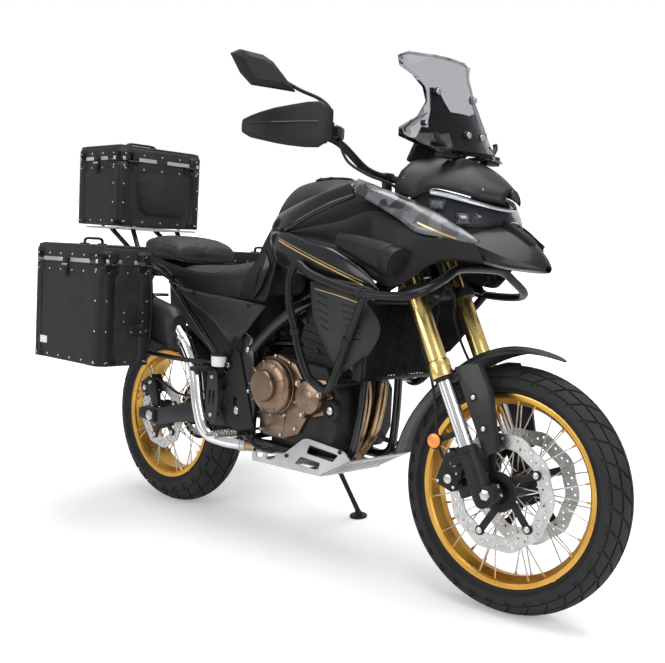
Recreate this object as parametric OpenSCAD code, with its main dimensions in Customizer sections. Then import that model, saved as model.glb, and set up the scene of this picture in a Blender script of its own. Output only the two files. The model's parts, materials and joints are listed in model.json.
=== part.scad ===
// Adventure motorcycle with hard luggage, standing on its side stand.
// Every piece is drawn on an upright machine whose rear tyre touches the ground at the
// origin, +X forward and +Y to the rider's left. parked() then leans the whole machine
// onto its stand, and steered() turns the front end about the steering head.

/* [Stance] */
// Distance between the two axles
wheelbase = 1445; // [1430:1:1460]
// Lean of the parked machine towards its stand, in degrees
lean = 8; // [6:0.5:10]
// Where the bars rest on the stand, in degrees to the left
bars_rest = 4.5; // [0:0.5:8]
// Angle of the steering head from the vertical, in degrees
rake = 27.5; // [26:0.5:28]
// Distance of the front axle ahead of the steering axis
axle_offset = 58; // [50:1:65]

/* [Wheels] */
// Outside radius of the rear tyre
rear_r = 321; // [315:1:325]
// Width of the rear tyre
rear_w = 150; // [140:1:155]
// Outside radius of the front tyre
front_r = 328.5; // [322:0.5:332]
// Width of the front tyre
front_w = 110; // [100:1:115]
// Radius of the front brake discs
front_disc_r = 158; // [149:1:160]
// Radius of the rear brake disc
rear_disc_r = 122; // [115:1:125]
// Bore through the hollow front axle
front_axle_bore = 8; // [6:0.5:9]
// Bore through the hollow rear axle
rear_axle_bore = 8; // [6:0.5:9]

/* [Fork] */
// Distance of each fork leg from the middle
leg_y = 117; // [112:1:120]
// Radius of the anodised outer tubes
outer_tube_r = 26.5; // [25:0.5:28]
// Radius of the chromed inner tubes
inner_tube_r = 20.5; // [20:0.5:21.5]
// Half width over the bar ends
bar_half_w = 425; // [410:5:430]

/* [Luggage] */
// Length of each side case
pannier_l = 415; // [380:5:430]
// Height of each side case without its lid
pannier_h = 324; // [300:2:330]
// Thickness of each side case
pannier_w = 200; // [195:5:220]
// Length of the top case
top_case_l = 275; // [260:5:290]
// Width of the top case
top_case_w = 380; // [360:5:400]
// Height of the top case without its lid
top_case_h = 228; // [210:2:240]
// Wall thickness of the cases
case_wall = 4; // [3:0.5:5]

/* [Hidden] */

$fn = 64;
hull_fn = 32;
tube_sides = 10;
eps = 0.01;
black = "#1c1d1f";
dark_grey = "#3a3b3e";
gold = "#c9962f";
bronze = "#8c7660";
silver = "#b9bbbe";

// ---- The stance: where the tyres and the stand meet the ground ----
function turn_x(a, p) = [p.x, p.y * cos(a) - p.z * sin(a), p.y * sin(a) + p.z * cos(a)];
function turn_y(a, p) = [p.x * cos(a) + p.z * sin(a), p.y, p.z * cos(a) - p.x * sin(a)];
function unit(v) = v / norm(v);
function spin(p, k, a) = p * cos(a) + cross(k, p) * sin(a) + k * (k * p) * (1 - cos(a));

front_axle = [wheelbase, 0, front_r];
steer_up = [-sin(rake), 0, cos(rake)];
steer_fwd = [cos(rake), 0, sin(rake)];
steer_foot = front_axle - axle_offset * steer_fwd;
rear_crown = rear_w / 2;
front_crown = front_w / 2;

// Lowest point of a leaning tyre with a round crown
function lowest(centre, axle, r, crown) =
    centre.z - (r - crown) * sqrt(1 - axle.z * axle.z) - crown;

steered_axle = steer_foot + spin(front_axle - steer_foot, steer_up, bars_rest);
rear_low = lowest(turn_x(-lean, [0, 0, rear_r]), turn_x(-lean, [0, 1, 0]), rear_r, rear_crown);
front_low = lowest(turn_x(-lean, steered_axle), turn_x(-lean, spin([0, 1, 0], steer_up, bars_rest)),
    front_r, front_crown);
nose_dip = asin((front_low - rear_low) / wheelbase);
// Middle of the parked machine's footprint, which is the part's origin
middle = [663.2, 148.3];

module parked() {
    translate([-middle.x, -middle.y, -rear_low])
        rotate([0, nose_dip, 0])
            rotate([-lean, 0, 0])
                children();
}

module steered() {
    parked()
        translate(steer_foot)
            rotate(bars_rest, v = steer_up)
                translate(-steer_foot)
                    children();
}

// Fork frame: origin at the front axle, +Z up along the legs, +X square to them and forward
module fork_frame() {
    steered()
        translate(front_axle)
            rotate([0, -rake, 0])
                children();
}

module both_sides() {
    children();
    mirror([0, 1, 0])
        children();
}

// ---- Shared shapes ----
// Round bar from a to b
module rod(a, b, r) {
    d = b - a;
    translate(a)
        rotate([0, acos(d.z / norm(d)), atan2(d.y, d.x)])
            cylinder(r = r, h = norm(d));
}

// Cylinder along Y, centred on its place
module cross_bar(r, w, fn = 64) {
    rotate([90, 0, 0])
        cylinder(r = r, h = w, center = true, $fn = fn);
}

// Plate with an outline in X and Z, between two distances from the middle
module side_plate(outline, y0, y1) {
    translate([0, y1, 0])
        rotate([90, 0, 0])
            linear_extrude(height = y1 - y0)
                polygon(outline);
}

// Smooth curve through hand-picked points
function bend_point(p0, p1, p2, p3, t) =
    0.5 * (2 * p1 + (p2 - p0) * t + (2 * p0 - 5 * p1 + 4 * p2 - p3) * t * t
        + (3 * p1 - p0 - 3 * p2 + p3) * t * t * t);
function curve(pts, steps) = [
    for (i = [0 : len(pts) - 2], s = [0 : steps - 1])
        bend_point(pts[max(i - 1, 0)], pts[i], pts[i + 1], pts[min(i + 2, len(pts) - 1)], s / steps),
    pts[len(pts) - 1]];

// One ring of a swept tube, square to its own direction
function tube_ring(path, i, r, sides, up) =
    let (
        ahead = unit(path[min(i + 1, len(path) - 1)] - path[max(i - 1, 0)]),
        side = unit(cross(up, ahead)),
        over = cross(ahead, side)
    )
    [for (k = [0 : sides - 1])
        path[i] + r * (cos(360 * k / sides) * side + sin(360 * k / sides) * over)];

// Closed body through rings of equal length; a thin sheet has its ends closed in strips
module skin(rings, sheet = false) {
    n = len(rings[0]);
    last = (len(rings) - 1) * n;
    points = [for (ring = rings, p = ring) p];
    walls = [
        for (j = [0 : len(rings) - 2], k = [0 : n - 1])
            each [
                [j * n + k, (j + 1) * n + k, j * n + (k + 1) % n],
                [j * n + (k + 1) % n, (j + 1) * n + k, (j + 1) * n + (k + 1) % n]]];
    strips = [
        for (k = [0 : n / 2 - 2])
            each [
                [k, k + 1, n - 2 - k, n - 1 - k],
                [last + k, last + n - 1 - k, last + n - 2 - k, last + k + 1]]];
    caps = sheet ? strips : [[for (k = [0 : n - 1]) k], [for (k = [n - 1 : -1 : 0]) last + k]];
    polyhedron(points, concat(walls, caps));
}

// Bent tube along a curve through the given points
module bent_tube(pts, r, up = [0, 1, 0], steps = 4, sides = tube_sides) {
    path = curve(pts, steps);
    skin([for (i = [0 : len(path) - 1]) tube_ring(path, i, r, sides, up)]);
}

// Rounded cross-section at x, reaching from z0 to z1 and w to each side of y
function hoop(x, w, z0, z1, y = 0, power = 3, n = 20) = [
    for (k = [0 : n - 1])
        let (c = cos(360 * k / n), s = sin(360 * k / n))
            [x, y + w * sign(c) * pow(abs(c), 2 / power),
                (z0 + z1) / 2 + (z1 - z0) / 2 * sign(s) * pow(abs(s), 2 / power)]];

// Body through rounded sections, each [x, half width, bottom, top]
module loft(stations, power = 3, n = 20) {
    skin([for (s = stations) hoop(s[0], s[1], s[2], s[3], 0, power, n)]);
}

// ---- Chassis ----
pivot = [490, 0, 410];
pivot_r = 14;
module frame() {
    color(black) parked() {
        // Steering head
        rod(steer_foot + 600 * steer_up, steer_foot + 806 * steer_up, 32);
        both_sides() {
            // Main spar, from the head down to the swingarm pivot
            bent_tube([[1062, 22, 962], [1000, 60, 918], [800, 116, 800], [650, 132, 705], [530, 136, 600]], 19);
            difference() {
                side_plate([[505, 660], [555, 650], [575, 480], [570, 330], [535, 322], [500, 356], [455, 380],
                    [455, 480]], 132, 152);
                // Clear of the swingarm's pivot shaft
                translate([pivot.x, 142, pivot.z]) cross_bar(pivot_r + 0.3, 30);
            }
            // Down tube and engine cradle
            bent_tube([[1086, 14, 880], [996, 44, 824], [974, 64, 710], [972, 74, 590], [960, 84, 420],
                [930, 92, 328], [820, 100, 312], [620, 106, 314], [560, 136, 326]], 13);
            // Seat rail and its strut
            bent_tube([[545, 142, 640], [340, 128, 722], [120, 118, 800], [-60, 108, 862], [-130, 100, 880]], 12);
            rod([500, 141, 470], [66, 115, 806], 9);
        }
        // Cross members
        translate([800, 0, 800]) cross_bar(14, 240);
        translate([530, 0, 625]) cross_bar(12, 286);
        translate([120, 0, 800]) cross_bar(9, 236);
        translate([-60, 0, 848]) cross_bar(8, 212);
        translate([556, 0, 336]) cross_bar(9, 280);
    }
}

module engine() {
    color(dark_grey) parked() {
        side_plate([[594, 345], [880, 338], [912, 400], [912, 520], [860, 590], [650, 606], [596, 560], [592, 440]],
            -126, 126);
        side_plate([[690, 560], [880, 520], [925, 690], [890, 745], [740, 770]], -98, 98);
    }
}

module engine_covers() {
    color(bronze) parked() {
        // Clutch, generator and starter covers
        translate([665, -155, 512]) cross_bar(86, 58);
        translate([655, -194, 514]) cross_bar(48, 20);
        translate([830, -154, 500]) cross_bar(52, 52);
        translate([905, -139, 470]) cross_bar(32, 22);
        translate([680, 150, 500]) cross_bar(84, 44);
        translate([820, 146, 520]) cross_bar(40, 36);
    }
}

module fuel_tank() {
    color(black) parked()
        loft([[548, 70, 905, 980], [575, 105, 890, 1040], [630, 140, 880, 1090], [700, 160, 870, 1122],
            [780, 172, 865, 1138], [850, 168, 870, 1138], [895, 150, 880, 1120]]);
}

module side_fairings() {
    color(black) parked()
        both_sides()
            // Each section is a slab beside the tank, then a wing reaching to the nose
            skin([
                hoop(640, 8, 930, 1000, 160), hoop(700, 22, 905, 1070, 190), hoop(780, 24, 880, 1105, 202),
                hoop(880, 24, 860, 1120, 206), hoop(980, 24, 842, 1122, 208), hoop(1070, 24, 838, 1105, 210),
                hoop(1150, 26, 850, 1082, 208), hoop(1220, 26, 890, 1062, 200), hoop(1290, 22, 930, 1040, 190)]);
}

module radiator_shrouds() {
    color(dark_grey) parked()
        both_sides()
            side_plate([[880, 836], [1078, 826], [1072, 740], [985, 586], [952, 590], [900, 720]], 186, 198);
}

module beak() {
    color(black) parked()
        loft([[1292, 165, 938, 1000], [1340, 160, 915, 1016], [1390, 132, 905, 1016], [1440, 96, 900, 990],
            [1490, 46, 900, 950], [1515, 12, 902, 922]]);
}

module nose_cowl() {
    color(black) parked()
        loft([[1140, 160, 1118, 1200], [1190, 170, 1112, 1206], [1240, 160, 1106, 1196], [1300, 130, 1100, 1170],
            [1350, 90, 1094, 1140], [1395, 40, 1088, 1118]]);
}

module headlight() {
    color(dark_grey) parked()
        loft([[1170, 150, 1022, 1108], [1250, 150, 1018, 1100], [1310, 128, 1020, 1096], [1350, 90, 1024, 1090],
            [1372, 40, 1036, 1084]]);
}

module fog_lamps() {
    color(black) parked()
        both_sides()
            difference() {
                hull() {
                    rod([1120, 236, 938], [1222, 244, 905], 36);
                    translate([1110, 226, 940])
                        sphere(r = 30, $fn = hull_fn);
                }
                // Flat back against the fairing
                translate([1040, 150, 850])
                    cube([240, 84.5, 130]);
            }
}

module windscreen() {
    color("#5a5d60", 0.5) parked()
        // Curved sheet, wide above the cowl and pinched below its top wings
        skin([for (row = [[1236, 1225, 168], [1200, 1300, 128], [1165, 1385, 112], [1130, 1470, 138]])
            concat(
                [for (k = [-6 : 6]) [row[0] + 36 * cos(15 * k), row[2] * k / 6, row[1]]],
                [for (k = [6 : -1 : -6]) [row[0] + 36 * cos(15 * k) - 5, row[2] * k / 6, row[1]]])], true);
}

module dashboard() {
    color(black) parked() {
        translate([1122, 0, 1236])
            rotate([0, -62, 0])
                cube([110, 190, 24], center = true);
        rod([1130, 0, 1220], [1158, 0, 1192], 12);
    }
}

module radiator() {
    color(black) parked()
        translate([1026, 0, 688])
            rotate([0, 4, 0])
                cube([36, 340, 236], center = true);
}

module skid_plate() {
    color(silver) parked()
        difference() {
            side_plate([[556, 262], [868, 268], [985, 330], [955, 362], [850, 300], [800, 372], [700, 300], [556, 302]],
                -136, 136);
            side_plate([[540, 268], [866, 274], [976, 332], [990, 500], [540, 500]], -130, 130);
        }
}

module crash_bars() {
    color(black) parked()
        both_sides() {
            // Hoop under the nose, back along the fairing, down and round below the engine's front
            bent_tube([[1300, -2, 905], [1300, 100, 900], [1302, 160, 874], [1288, 240, 838], [1230, 268, 824],
                [1110, 274, 827], [985, 264, 848], [900, 256, 870], [844, 250, 893], [818, 250, 850],
                [818, 249, 780], [831, 238, 716], [847, 226, 639], [872, 212, 572], [911, 200, 541],
                [946, 200, 543], [974, 212, 573], [1003, 220, 629], [1050, 233, 710], [1113, 262, 800],
                [1128, 268, 822]], 12);
            // Stays to the frame
            rod([822, 246, 765], [806, 136, 792], 9);
            rod([927, 196, 545], [968, 90, 562], 9);
        }
}

module exhaust_pipes() {
    color(bronze) parked() {
        for (y = [-42, 42])
            bent_tube([[898, y, 606], [942, y, 586], [962, y * 0.7, 500], [930, y * 0.5, 390], [872, y * 0.3, 312]],
                19);
        bent_tube([[898, 0, 326], [800, -8, 300], [660, -44, 298], [560, -84, 300], [500, -122, 302],
            [440, -160, 308], [385, -186, 330], [346, -190, 410], [320, -190, 520], [280, -196, 600],
            [232, -202, 650]], 22);
    }
}

module muffler() {
    color(dark_grey) parked() {
        // Oval can, climbing towards the tail
        skin([for (s = [[-34, 40, 640, 776], [-20, 46, 628, 782], [100, 46, 604, 752], [225, 44, 582, 724],
            [246, 30, 600, 700]])
            hoop(s[0], s[1], s[2], s[3], -206, 2.4)]);
        rod([-32, -206, 708], [-48, -207, 712], 28);
    }
}

module swingarm() {
    color(dark_grey) parked() {
        both_sides()
            difference() {
                side_plate([[-62, 300], [-62, 345], [40, 352], [200, 394], [440, 455], [520, 440], [528, 385],
                    [420, 345], [200, 328], [30, 290]], 104, 130);
                translate([0, 117, rear_r])
                    cross_bar(13, 60);
                translate([pivot.x, 117, pivot.z])
                    cross_bar(pivot_r, 60);
            }
        translate([430, 0, 397])
            cube([60, 210, 54], center = true);
        // Hollow axle and pivot shaft
        translate([0, 0, rear_r])
            difference() {
                cross_bar(13, 290);
                cross_bar(rear_axle_bore, 300);
            }
        translate([pivot.x, 0, pivot.z])
            cross_bar(pivot_r, 304);
    }
}

module rear_caliper() {
    color(black) parked() {
        difference() {
            translate([-58, -86, 420])
                rotate([0, -35, 0])
                    cube([100, 52, 62], center = true);
            translate([0, -86, rear_r])
                cross_bar(rear_disc_r + 6, 11);
        }
        side_plate([[-20, 352], [20, 352], [-10, 440], [-60, 420]], -118, -104);
    }
}

sprocket_r = 96;
drive_r = 36;
drive_at = [540, 0, 400];
module chain() {
    color(black) parked() {
        // Both sprockets' chain line as one fixed loop
        difference() {
            hull() {
                translate([0, 88, rear_r]) cross_bar(sprocket_r + 8, 14, hull_fn);
                translate([drive_at.x, 88, drive_at.z]) cross_bar(drive_r + 8, 14, hull_fn);
            }
            hull() {
                translate([0, 88, rear_r]) cross_bar(sprocket_r + 0.6, 20, hull_fn);
                translate([drive_at.x, 88, drive_at.z]) cross_bar(drive_r - 4, 20, hull_fn);
            }
        }
        translate([drive_at.x, 88, drive_at.z])
            cross_bar(drive_r - 5, 12);
        // Output shaft
        rod([540, 88, 400], [600, 88, 418], 9);
    }
}

module rear_shock() {
    color(dark_grey) parked() {
        rod([452, 0, 450], [500, 0, 630], 30);
        rod([441, 0, 412], [512, 0, 660], 11);
    }
}

module rider_seat() {
    color(black) parked()
        loft([[118, 128, 819, 864], [170, 142, 803, 866], [230, 146, 788, 867], [300, 148, 779, 869], [380, 148, 776, 876],
            [460, 138, 776, 892], [520, 112, 776, 905], [548, 80, 782, 915]], 4);
}

module passenger_seat() {
    color(black) parked()
        loft([[-115, 95, 892, 945], [-90, 126, 884, 962], [-30, 138, 879, 966], [40, 142, 874, 962],
            [90, 138, 869, 954], [128, 128, 869, 930]], 4);
}

module side_panels() {
    color(dark_grey) parked()
        both_sides()
            side_plate([[245, 785], [330, 720], [470, 622], [505, 640], [560, 762], [636, 880], [612, 930], [545, 800]],
                157, 169);
}

module tail() {
    color(black) parked() {
        loft([[-200, 60, 880, 925], [-150, 80, 868, 926], [-124, 82, 858, 882], [-60, 84, 858, 880],
            [40, 92, 848, 870]]);
        // Number plate holder and splash guard
        rod([-165, 0, 880], [-330, 0, 640], 16);
        translate([-352, 0, 610])
            rotate([0, 20, 0])
                cube([14, 190, 130], center = true);
        rod([-200, -60, 820], [-200, 60, 820], 8);
    }
}

rack_z = 984;
module luggage_rack() {
    color(black) parked() {
        // Top plate with its legs
        translate([-295, 0, rack_z + 5])
            cube([290, 330, 10], center = true);
        both_sides() {
            rod([-200, 100, rack_z], [-134, 106, 880], 9);
            rod([-340, 100, rack_z], [-142, 106, 874], 9);
            // Hoop that carries the side case, and its stays
            bent_tube([[100, 126, 806], [70, 190, 846], [0, 258, 862], [-130, 264, 856], [-148, 264, 740],
                [-135, 264, 570], [0, 264, 556], [140, 264, 566], [162, 264, 720], [150, 264, 850]], 8);
            bent_tube([[140, 262, 568], [290, 236, 560], [400, 188, 556], [462, 169, 556]], 8);
            rod([-122, 112, 878], [-128, 262, 856], 7);
        }
    }
}

// ---- Cases ----
lid_gap = 0.8;
hinge_r = 5;
knuckle = 24;

// Open box with rounded upright edges, from its front top edge backwards
module case_shell(l, w, h, wall) {
    difference() {
        translate([-l, -w / 2, 0]) rounded_block(l, w, h, 22);
        translate([wall - l, wall - w / 2, wall]) rounded_block(l - 2 * wall, w - 2 * wall, h, 18);
    }
}

module rounded_block(l, w, h, r) {
    translate([0, r, 0]) cube([l, w - 2 * r, h]);
    translate([r, 0, 0]) cube([l - 2 * r, w, h]);
    for (x = [r, l - r], y = [r, w - r])
        translate([x, y, 0])
            cylinder(r = r, h = h);
}

// Hinge barrels along the front edge; the lid's and the box's lie side by side
module knuckles(w, offset) {
    for (y = [-w / 3, w / 3])
        translate([hinge_r + 1, y + offset, 0]) {
            cross_bar(hinge_r, knuckle);
            translate([-4, 0, offset > 0 ? 6 : -6])
                cube([6, knuckle, 12], center = true);
        }
}

module case_box(l, w, h) {
    case_shell(l, w, h, case_wall);
    translate([0, 0, h + lid_gap / 2])
        knuckles(w, -knuckle / 2 - 0.5);
}

module case_top(l, w, h) {
    difference() {
        translate([-l, -w / 2, lid_gap]) rounded_block(l, w, h, 22);
        translate([case_wall - l, case_wall - w / 2, -1])
            rounded_block(l - 2 * case_wall, w - 2 * case_wall, h - case_wall + 1 + lid_gap, 18);
    }
    translate([0, 0, lid_gap / 2])
        knuckles(w, knuckle / 2 + 0.5);
    // Carrying handle
    both_sides()
        translate([-l / 2, w / 6, h])
            cube([22, 12, 18], center = true);
    translate([-l / 2, 0, h + 14])
        cube([22, w / 3 + 12, 10], center = true);
}

top_case_at = [-172, 0, rack_z + 12];
top_lid_h = 62;
module top_case() {
    color(dark_grey) parked()
        translate(top_case_at)
            case_box(top_case_l, top_case_w, top_case_h);
}

module top_case_lid() {
    color(dark_grey) parked()
        translate(top_case_at + [0, 0, top_case_h])
            case_top(top_case_l, top_case_w, top_lid_h);
}

pannier_at = [190, 377, 530];
pannier_lid_h = 66;
module side_case(side) {
    color(dark_grey) parked()
        translate([pannier_at.x, side * pannier_at.y, pannier_at.z])
            case_box(pannier_l, pannier_w, pannier_h);
}

module side_case_lid(side) {
    color(dark_grey) parked()
        translate([pannier_at.x, side * pannier_at.y, pannier_at.z + pannier_h])
            case_top(pannier_l, pannier_w, pannier_lid_h);
}

module left_case() { side_case(1); }
module left_case_lid() { side_case_lid(1); }
module right_case() { side_case(-1); }
module right_case_lid() { side_case_lid(-1); }

// ---- Feet and stand ----
module foot_controls() {
    color(black) parked() {
        both_sides() {
            // Rider's peg on its bracket
            side_plate([[452, 612], [500, 612], [545, 480], [590, 360], [560, 335], [500, 340], [450, 420]], 152.5, 162);
            rod([560, 160, 352], [560, 212, 352], 9);
            translate([556, 262, 356])
                cube([46, 100, 18], center = true);
            // Passenger's peg
            rod([395, 160, 560], [395, 185, 545], 9);
            translate([392, 220, 538])
                cube([34, 78, 16], center = true);
            rod([470, 158, 600], [395, 165, 560], 9);
        }
        // Brake pedal on the right, gear lever on the left
        bent_tube([[560, -172, 352], [640, -180, 318], [740, -205, 330]], 7);
        rod([730, -190, 330], [730, -235, 330], 9);
        bent_tube([[560, 172, 352], [640, 182, 350], [720, 205, 358]], 6);
        rod([715, 190, 358], [715, 240, 358], 9);
    }
}

stand_pivot = [600, 160, 292];
stand_foot_y = 262;
stand_foot = [668, stand_foot_y, stand_foot_y * tan(lean) + 20];
stand_axis = unit([0.12, 0.89, 0.44]);
module side_stand() {
    color(black) {
        parked() {
            rod(stand_pivot - 12 * stand_axis, stand_pivot + 12 * stand_axis, 15);
            rod(stand_pivot, stand_foot, 11);
        }
        // Foot pad, flat on the ground
        stand_pad();
    }
}

pad_h = 8;
module stand_pad() {
    pad = turn_y(nose_dip, turn_x(-lean, stand_foot)) - [middle.x, middle.y, rear_low];
    translate([pad.x, pad.y, 0])
        cylinder(r = 30, h = pad_h);
    translate([pad.x, pad.y, pad_h - eps])
        cylinder(r = 13, h = pad.z);
}

// ---- Front end ----
leg_x = -21;
module fork_tubes() {
    color(gold) fork_frame()
        both_sides() {
            translate([leg_x, leg_y, 330]) cylinder(r = outer_tube_r, h = 540);
            translate([leg_x, leg_y, 325]) cylinder(r = outer_tube_r + 4, h = 50);
        }
}

module fork_lowers() {
    color(silver) fork_frame()
        difference() {
            union() {
                both_sides() {
                    translate([leg_x, leg_y, 60]) cylinder(r = inner_tube_r, h = 264);
                    translate([leg_x, leg_y, -30]) cylinder(r = 29, h = 165);
                    translate([0, leg_y, 0]) cross_bar(26, 48);
                }
                cross_bar(11, 2 * leg_y + 66);
            }
            cross_bar(front_axle_bore, 2 * leg_y + 80);
        }
}

module fork_clamps() {
    color(black) fork_frame()
        for (z = [560, 830])
            translate([0, 0, z])
                difference() {
                    union() {
                        translate([-75, -60, 0]) cube([72, 120, 28]);
                        for (s = [-1, 1])
                            translate([leg_x, s * leg_y, 0]) cylinder(r = outer_tube_r + 12, h = 28);
                        translate([leg_x - 20, -leg_y, 0]) cube([40, 2 * leg_y, 28]);
                    }
                    for (s = [-1, 1])
                        translate([leg_x, s * leg_y, -1]) cylinder(r = outer_tube_r + 0.2, h = 30);
                }
}

bar_mid = [978, 0, 1150];
module handlebar() {
    color(black) steered() {
        both_sides() {
            bent_tube([bar_mid, bar_mid + [0, 60, 0], [965, 130, 1165], [935, 215, 1225], [900, 280, 1238],
                [825, bar_half_w - 10, 1236]], 11, [0, 0, 1]);
            // Grip and its weight
            rod([888, 302, 1238], [825, bar_half_w - 14, 1236], 17);
            rod([830, bar_half_w - 22, 1236], [826, bar_half_w + 4, 1236], 20);
            rod([826, bar_half_w, 1236], [820, bar_half_w + 40, 1236], 7);
            // Riser
            rod([985, 40, 1060], bar_mid + [0, 40, 0], 15);
        }
        // Brake and clutch master cylinders with their levers
        both_sides() {
            translate([930, 250, 1244]) cube([60, 60, 52], center = true);
            bent_tube([[950, 262, 1236], [958, 320, 1232], [905, bar_half_w - 15, 1226]], 6, [0, 0, 1]);
        }
    }
}

module hand_guards() {
    color(black) steered()
        both_sides()
            skin([
                hoop(796, 12, 1218, 1258, bar_half_w + 22, 3, 12), hoop(850, 12, 1200, 1276, bar_half_w + 14, 3, 12),
                hoop(915, 12, 1190, 1298, bar_half_w - 26, 3, 12), hoop(965, 10, 1190, 1317, bar_half_w - 84, 3, 12),
                hoop(988, 6, 1215, 1298, bar_half_w - 112, 3, 12)]);
}

module mirrors() {
    color(black) steered()
        both_sides() {
            bent_tube([[948, 270, 1262], [955, 290, 1312], [892, 348, 1346]], 5);
            hull() {
                translate([886, 354, 1347]) sphere(r = 10, $fn = hull_fn);
                translate([848, 410, 1356]) sphere(r = 14, $fn = hull_fn);
                translate([822, 450, 1352]) sphere(r = 10, $fn = hull_fn);
                translate([790, 500, 1420]) sphere(r = 8, $fn = hull_fn);
                translate([848, 412, 1418]) sphere(r = 10, $fn = hull_fn);
                translate([804, 480, 1430]) sphere(r = 8, $fn = hull_fn);
            }
        }
}

mudguard_from = 70;
mudguard_sweep = 104;
module front_mudguard() {
    color(dark_grey) {
        steered() {
            // Arch over the tyre, drawn on the wheel's own axis
            translate(front_axle)
                rotate([90, 0, 0])
                    rotate([0, 0, mudguard_from])
                        rotate_extrude(angle = mudguard_sweep)
                            polygon([[340, -68], [350, -56], [356, 0], [350, 56], [340, 68], [344, 72], [356, 60],
                                [362, 0], [356, -60], [344, -72]]);
            hull() {
                translate([1560, 0, 680]) sphere(r = 6, $fn = hull_fn);
                translate([1470, 0, 690]) cube([10, 90, 8], center = true);
            }
        }
        fork_frame()
            both_sides()
                side_plate([[11, 92], [52, 92], [92, 250], [88, 326], [11, 345]], 92, 106);
    }
}

hose_r = 4;
hose_sides = 8;
module front_calipers() {
    color(black) fork_frame() {
        both_sides()
            difference() {
                translate([-98, 82, 92]) rotate([0, 45, 0]) cube([74, 58, 110], center = true);
                translate([0, 73, 0]) cross_bar(front_disc_r + 6, 11);
            }
        // Brake hoses, from the splitter on the lower clamp and from the lever above
        both_sides()
            bent_tube([[-118, 84, 110], [-116, 98, 170], [-84, 116, 230], [-62, 112, 330], [-62, 100, 440],
                [-46, 80, 515], [-12, 50, 540], [8, 24, 560], [10, 8, 580]], hose_r, [0, 1, 0], 4, hose_sides);
        translate([8, 0, 584])
            cube([18, 40, 22], center = true);
        bent_tube([[10, -8, 590], [20, -24, 660], [26, -50, 760], [30, -74, 830], [16, -112, 886],
            [-16, -160, 926], [-40, -200, 976], [-26, -230, 1026]], hose_r, [0, 1, 0], 4, hose_sides);
    }
}

// ---- Wheels, turned on their own axles ----
// Round-crowned tyre on a bead of the given radius
module tyre(r, w, bead_r, bead_w) {
    crown = w / 2;
    rotate([90, 0, 0])
        rotate_extrude($fn = 96)
            polygon(concat(
                [for (a = [-100 : 10 : 100]) [r - crown + crown * cos(a), crown * sin(a)]],
                [[bead_r, bead_w], [bead_r, -bead_w]]));
}

// Rim with flanges at its edges, its hub and the crossed spokes between them
module spoked_rim(lip_r, half_w, hub_r, hub_half, pairs, bore) {
    difference() {
        union() {
            rotate([90, 0, 0])
                rotate_extrude($fn = 96)
                    polygon([[lip_r - 24, -half_w + 22], [lip_r - 8, -half_w + 8], [lip_r - 8, -half_w], [lip_r, -half_w],
                        [lip_r, -half_w + 5], [lip_r - 16, -half_w + 26], [lip_r - 16, half_w - 26],
                        [lip_r, half_w - 5], [lip_r, half_w], [lip_r - 8, half_w], [lip_r - 8, half_w - 8],
                        [lip_r - 24, half_w - 22]]);
            cross_bar(hub_r - 12, 2 * hub_half);
            for (s = [-1, 1])
                translate([0, s * (hub_half - 12), 0])
                    cross_bar(hub_r, 8);
        }
        cross_bar(bore, 2 * hub_half + 10);
    }
    for (i = [0 : pairs - 1], s = [-1, 1], lead = [-1, 1]) {
        a = 360 * (i + s / 4) / pairs;
        rod([(hub_r - 4) * cos(a), s * (hub_half - 12), (hub_r - 4) * sin(a)],
            [(lip_r - 10) * cos(a + lead * 24), s * (half_w - 6), (lip_r - 10) * sin(a + lead * 24)], 2.5);
    }
}

// Brake disc with the spider that carries it
module disc(r, y, hub_r) {
    translate([0, y, 0])
        difference() {
            cross_bar(r, 5);
            cross_bar(r - 42, 6);
        }
    for (a = [0 : 72 : 359])
        rotate([0, a, 0])
            translate([(r + hub_r) / 2 - 18, y, 0])
                cube([r - hub_r - 6, 4, 22], center = true);
    translate([0, y, 0])
        difference() {
            cross_bar(hub_r + 4, 8);
            cross_bar(hub_r - 14, 9);
        }
}

module front_place() { steered() translate(front_axle) children(); }
module rear_place() { parked() translate([0, 0, rear_r]) children(); }

module front_tyre() { color(black) front_place() tyre(front_r, front_w, 256, 38); }
module front_rim() { color(gold) front_place() spoked_rim(255.5, 40, 42, 58, 8, 11.2); }
module front_discs() {
    color(silver) front_place()
        for (s = [-1, 1])
            disc(front_disc_r, s * 73, 44);
}
module rear_tyre() { color(black) rear_place() tyre(rear_r, rear_w, 230.5, 56); }
module rear_rim() {
    color(gold) rear_place() {
        spoked_rim(230, 59, 50, 66, 8, 13.2);
        // Rear sprocket
        translate([0, 88, 0])
            difference() {
                cross_bar(sprocket_r, 8);
                cross_bar(30, 9);
            }
        translate([0, 77, 0])
            difference() {
                cross_bar(40, 24);
                cross_bar(30, 25);
            }
    }
}
module rear_disc() { color(silver) rear_place() disc(rear_disc_r, -86, 44); }

frame();
engine();
engine_covers();
fuel_tank();
side_fairings();
radiator_shrouds();
beak();
nose_cowl();
headlight();
fog_lamps();
windscreen();
dashboard();
radiator();
skid_plate();
crash_bars();
exhaust_pipes();
muffler();
swingarm();
rear_caliper();
chain();
rear_shock();
rider_seat();
passenger_seat();
side_panels();
tail();
luggage_rack();
top_case();
top_case_lid();
left_case();
left_case_lid();
right_case();
right_case_lid();
foot_controls();
side_stand();
fork_tubes();
fork_lowers();
fork_clamps();
handlebar();
hand_guards();
mirrors();
front_mudguard();
front_calipers();
front_tyre();
front_rim();
front_discs();
rear_tyre();
rear_rim();
rear_disc();
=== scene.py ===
# %% [markdown]
# # An adventure motorcycle, piece by piece
# The frame of this machine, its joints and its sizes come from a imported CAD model. This
# notebook puts the visible surfaces on it: tyres and spokes, painted bodywork, leather,
# aluminium and glass. Every piece rides on the body that carries it, so it moves with it.

# %% Load the frame
import bpy, bmesh, json, math
from mathutils import Matrix, Vector
from mathutils.bvhtree import BVHTree


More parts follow.
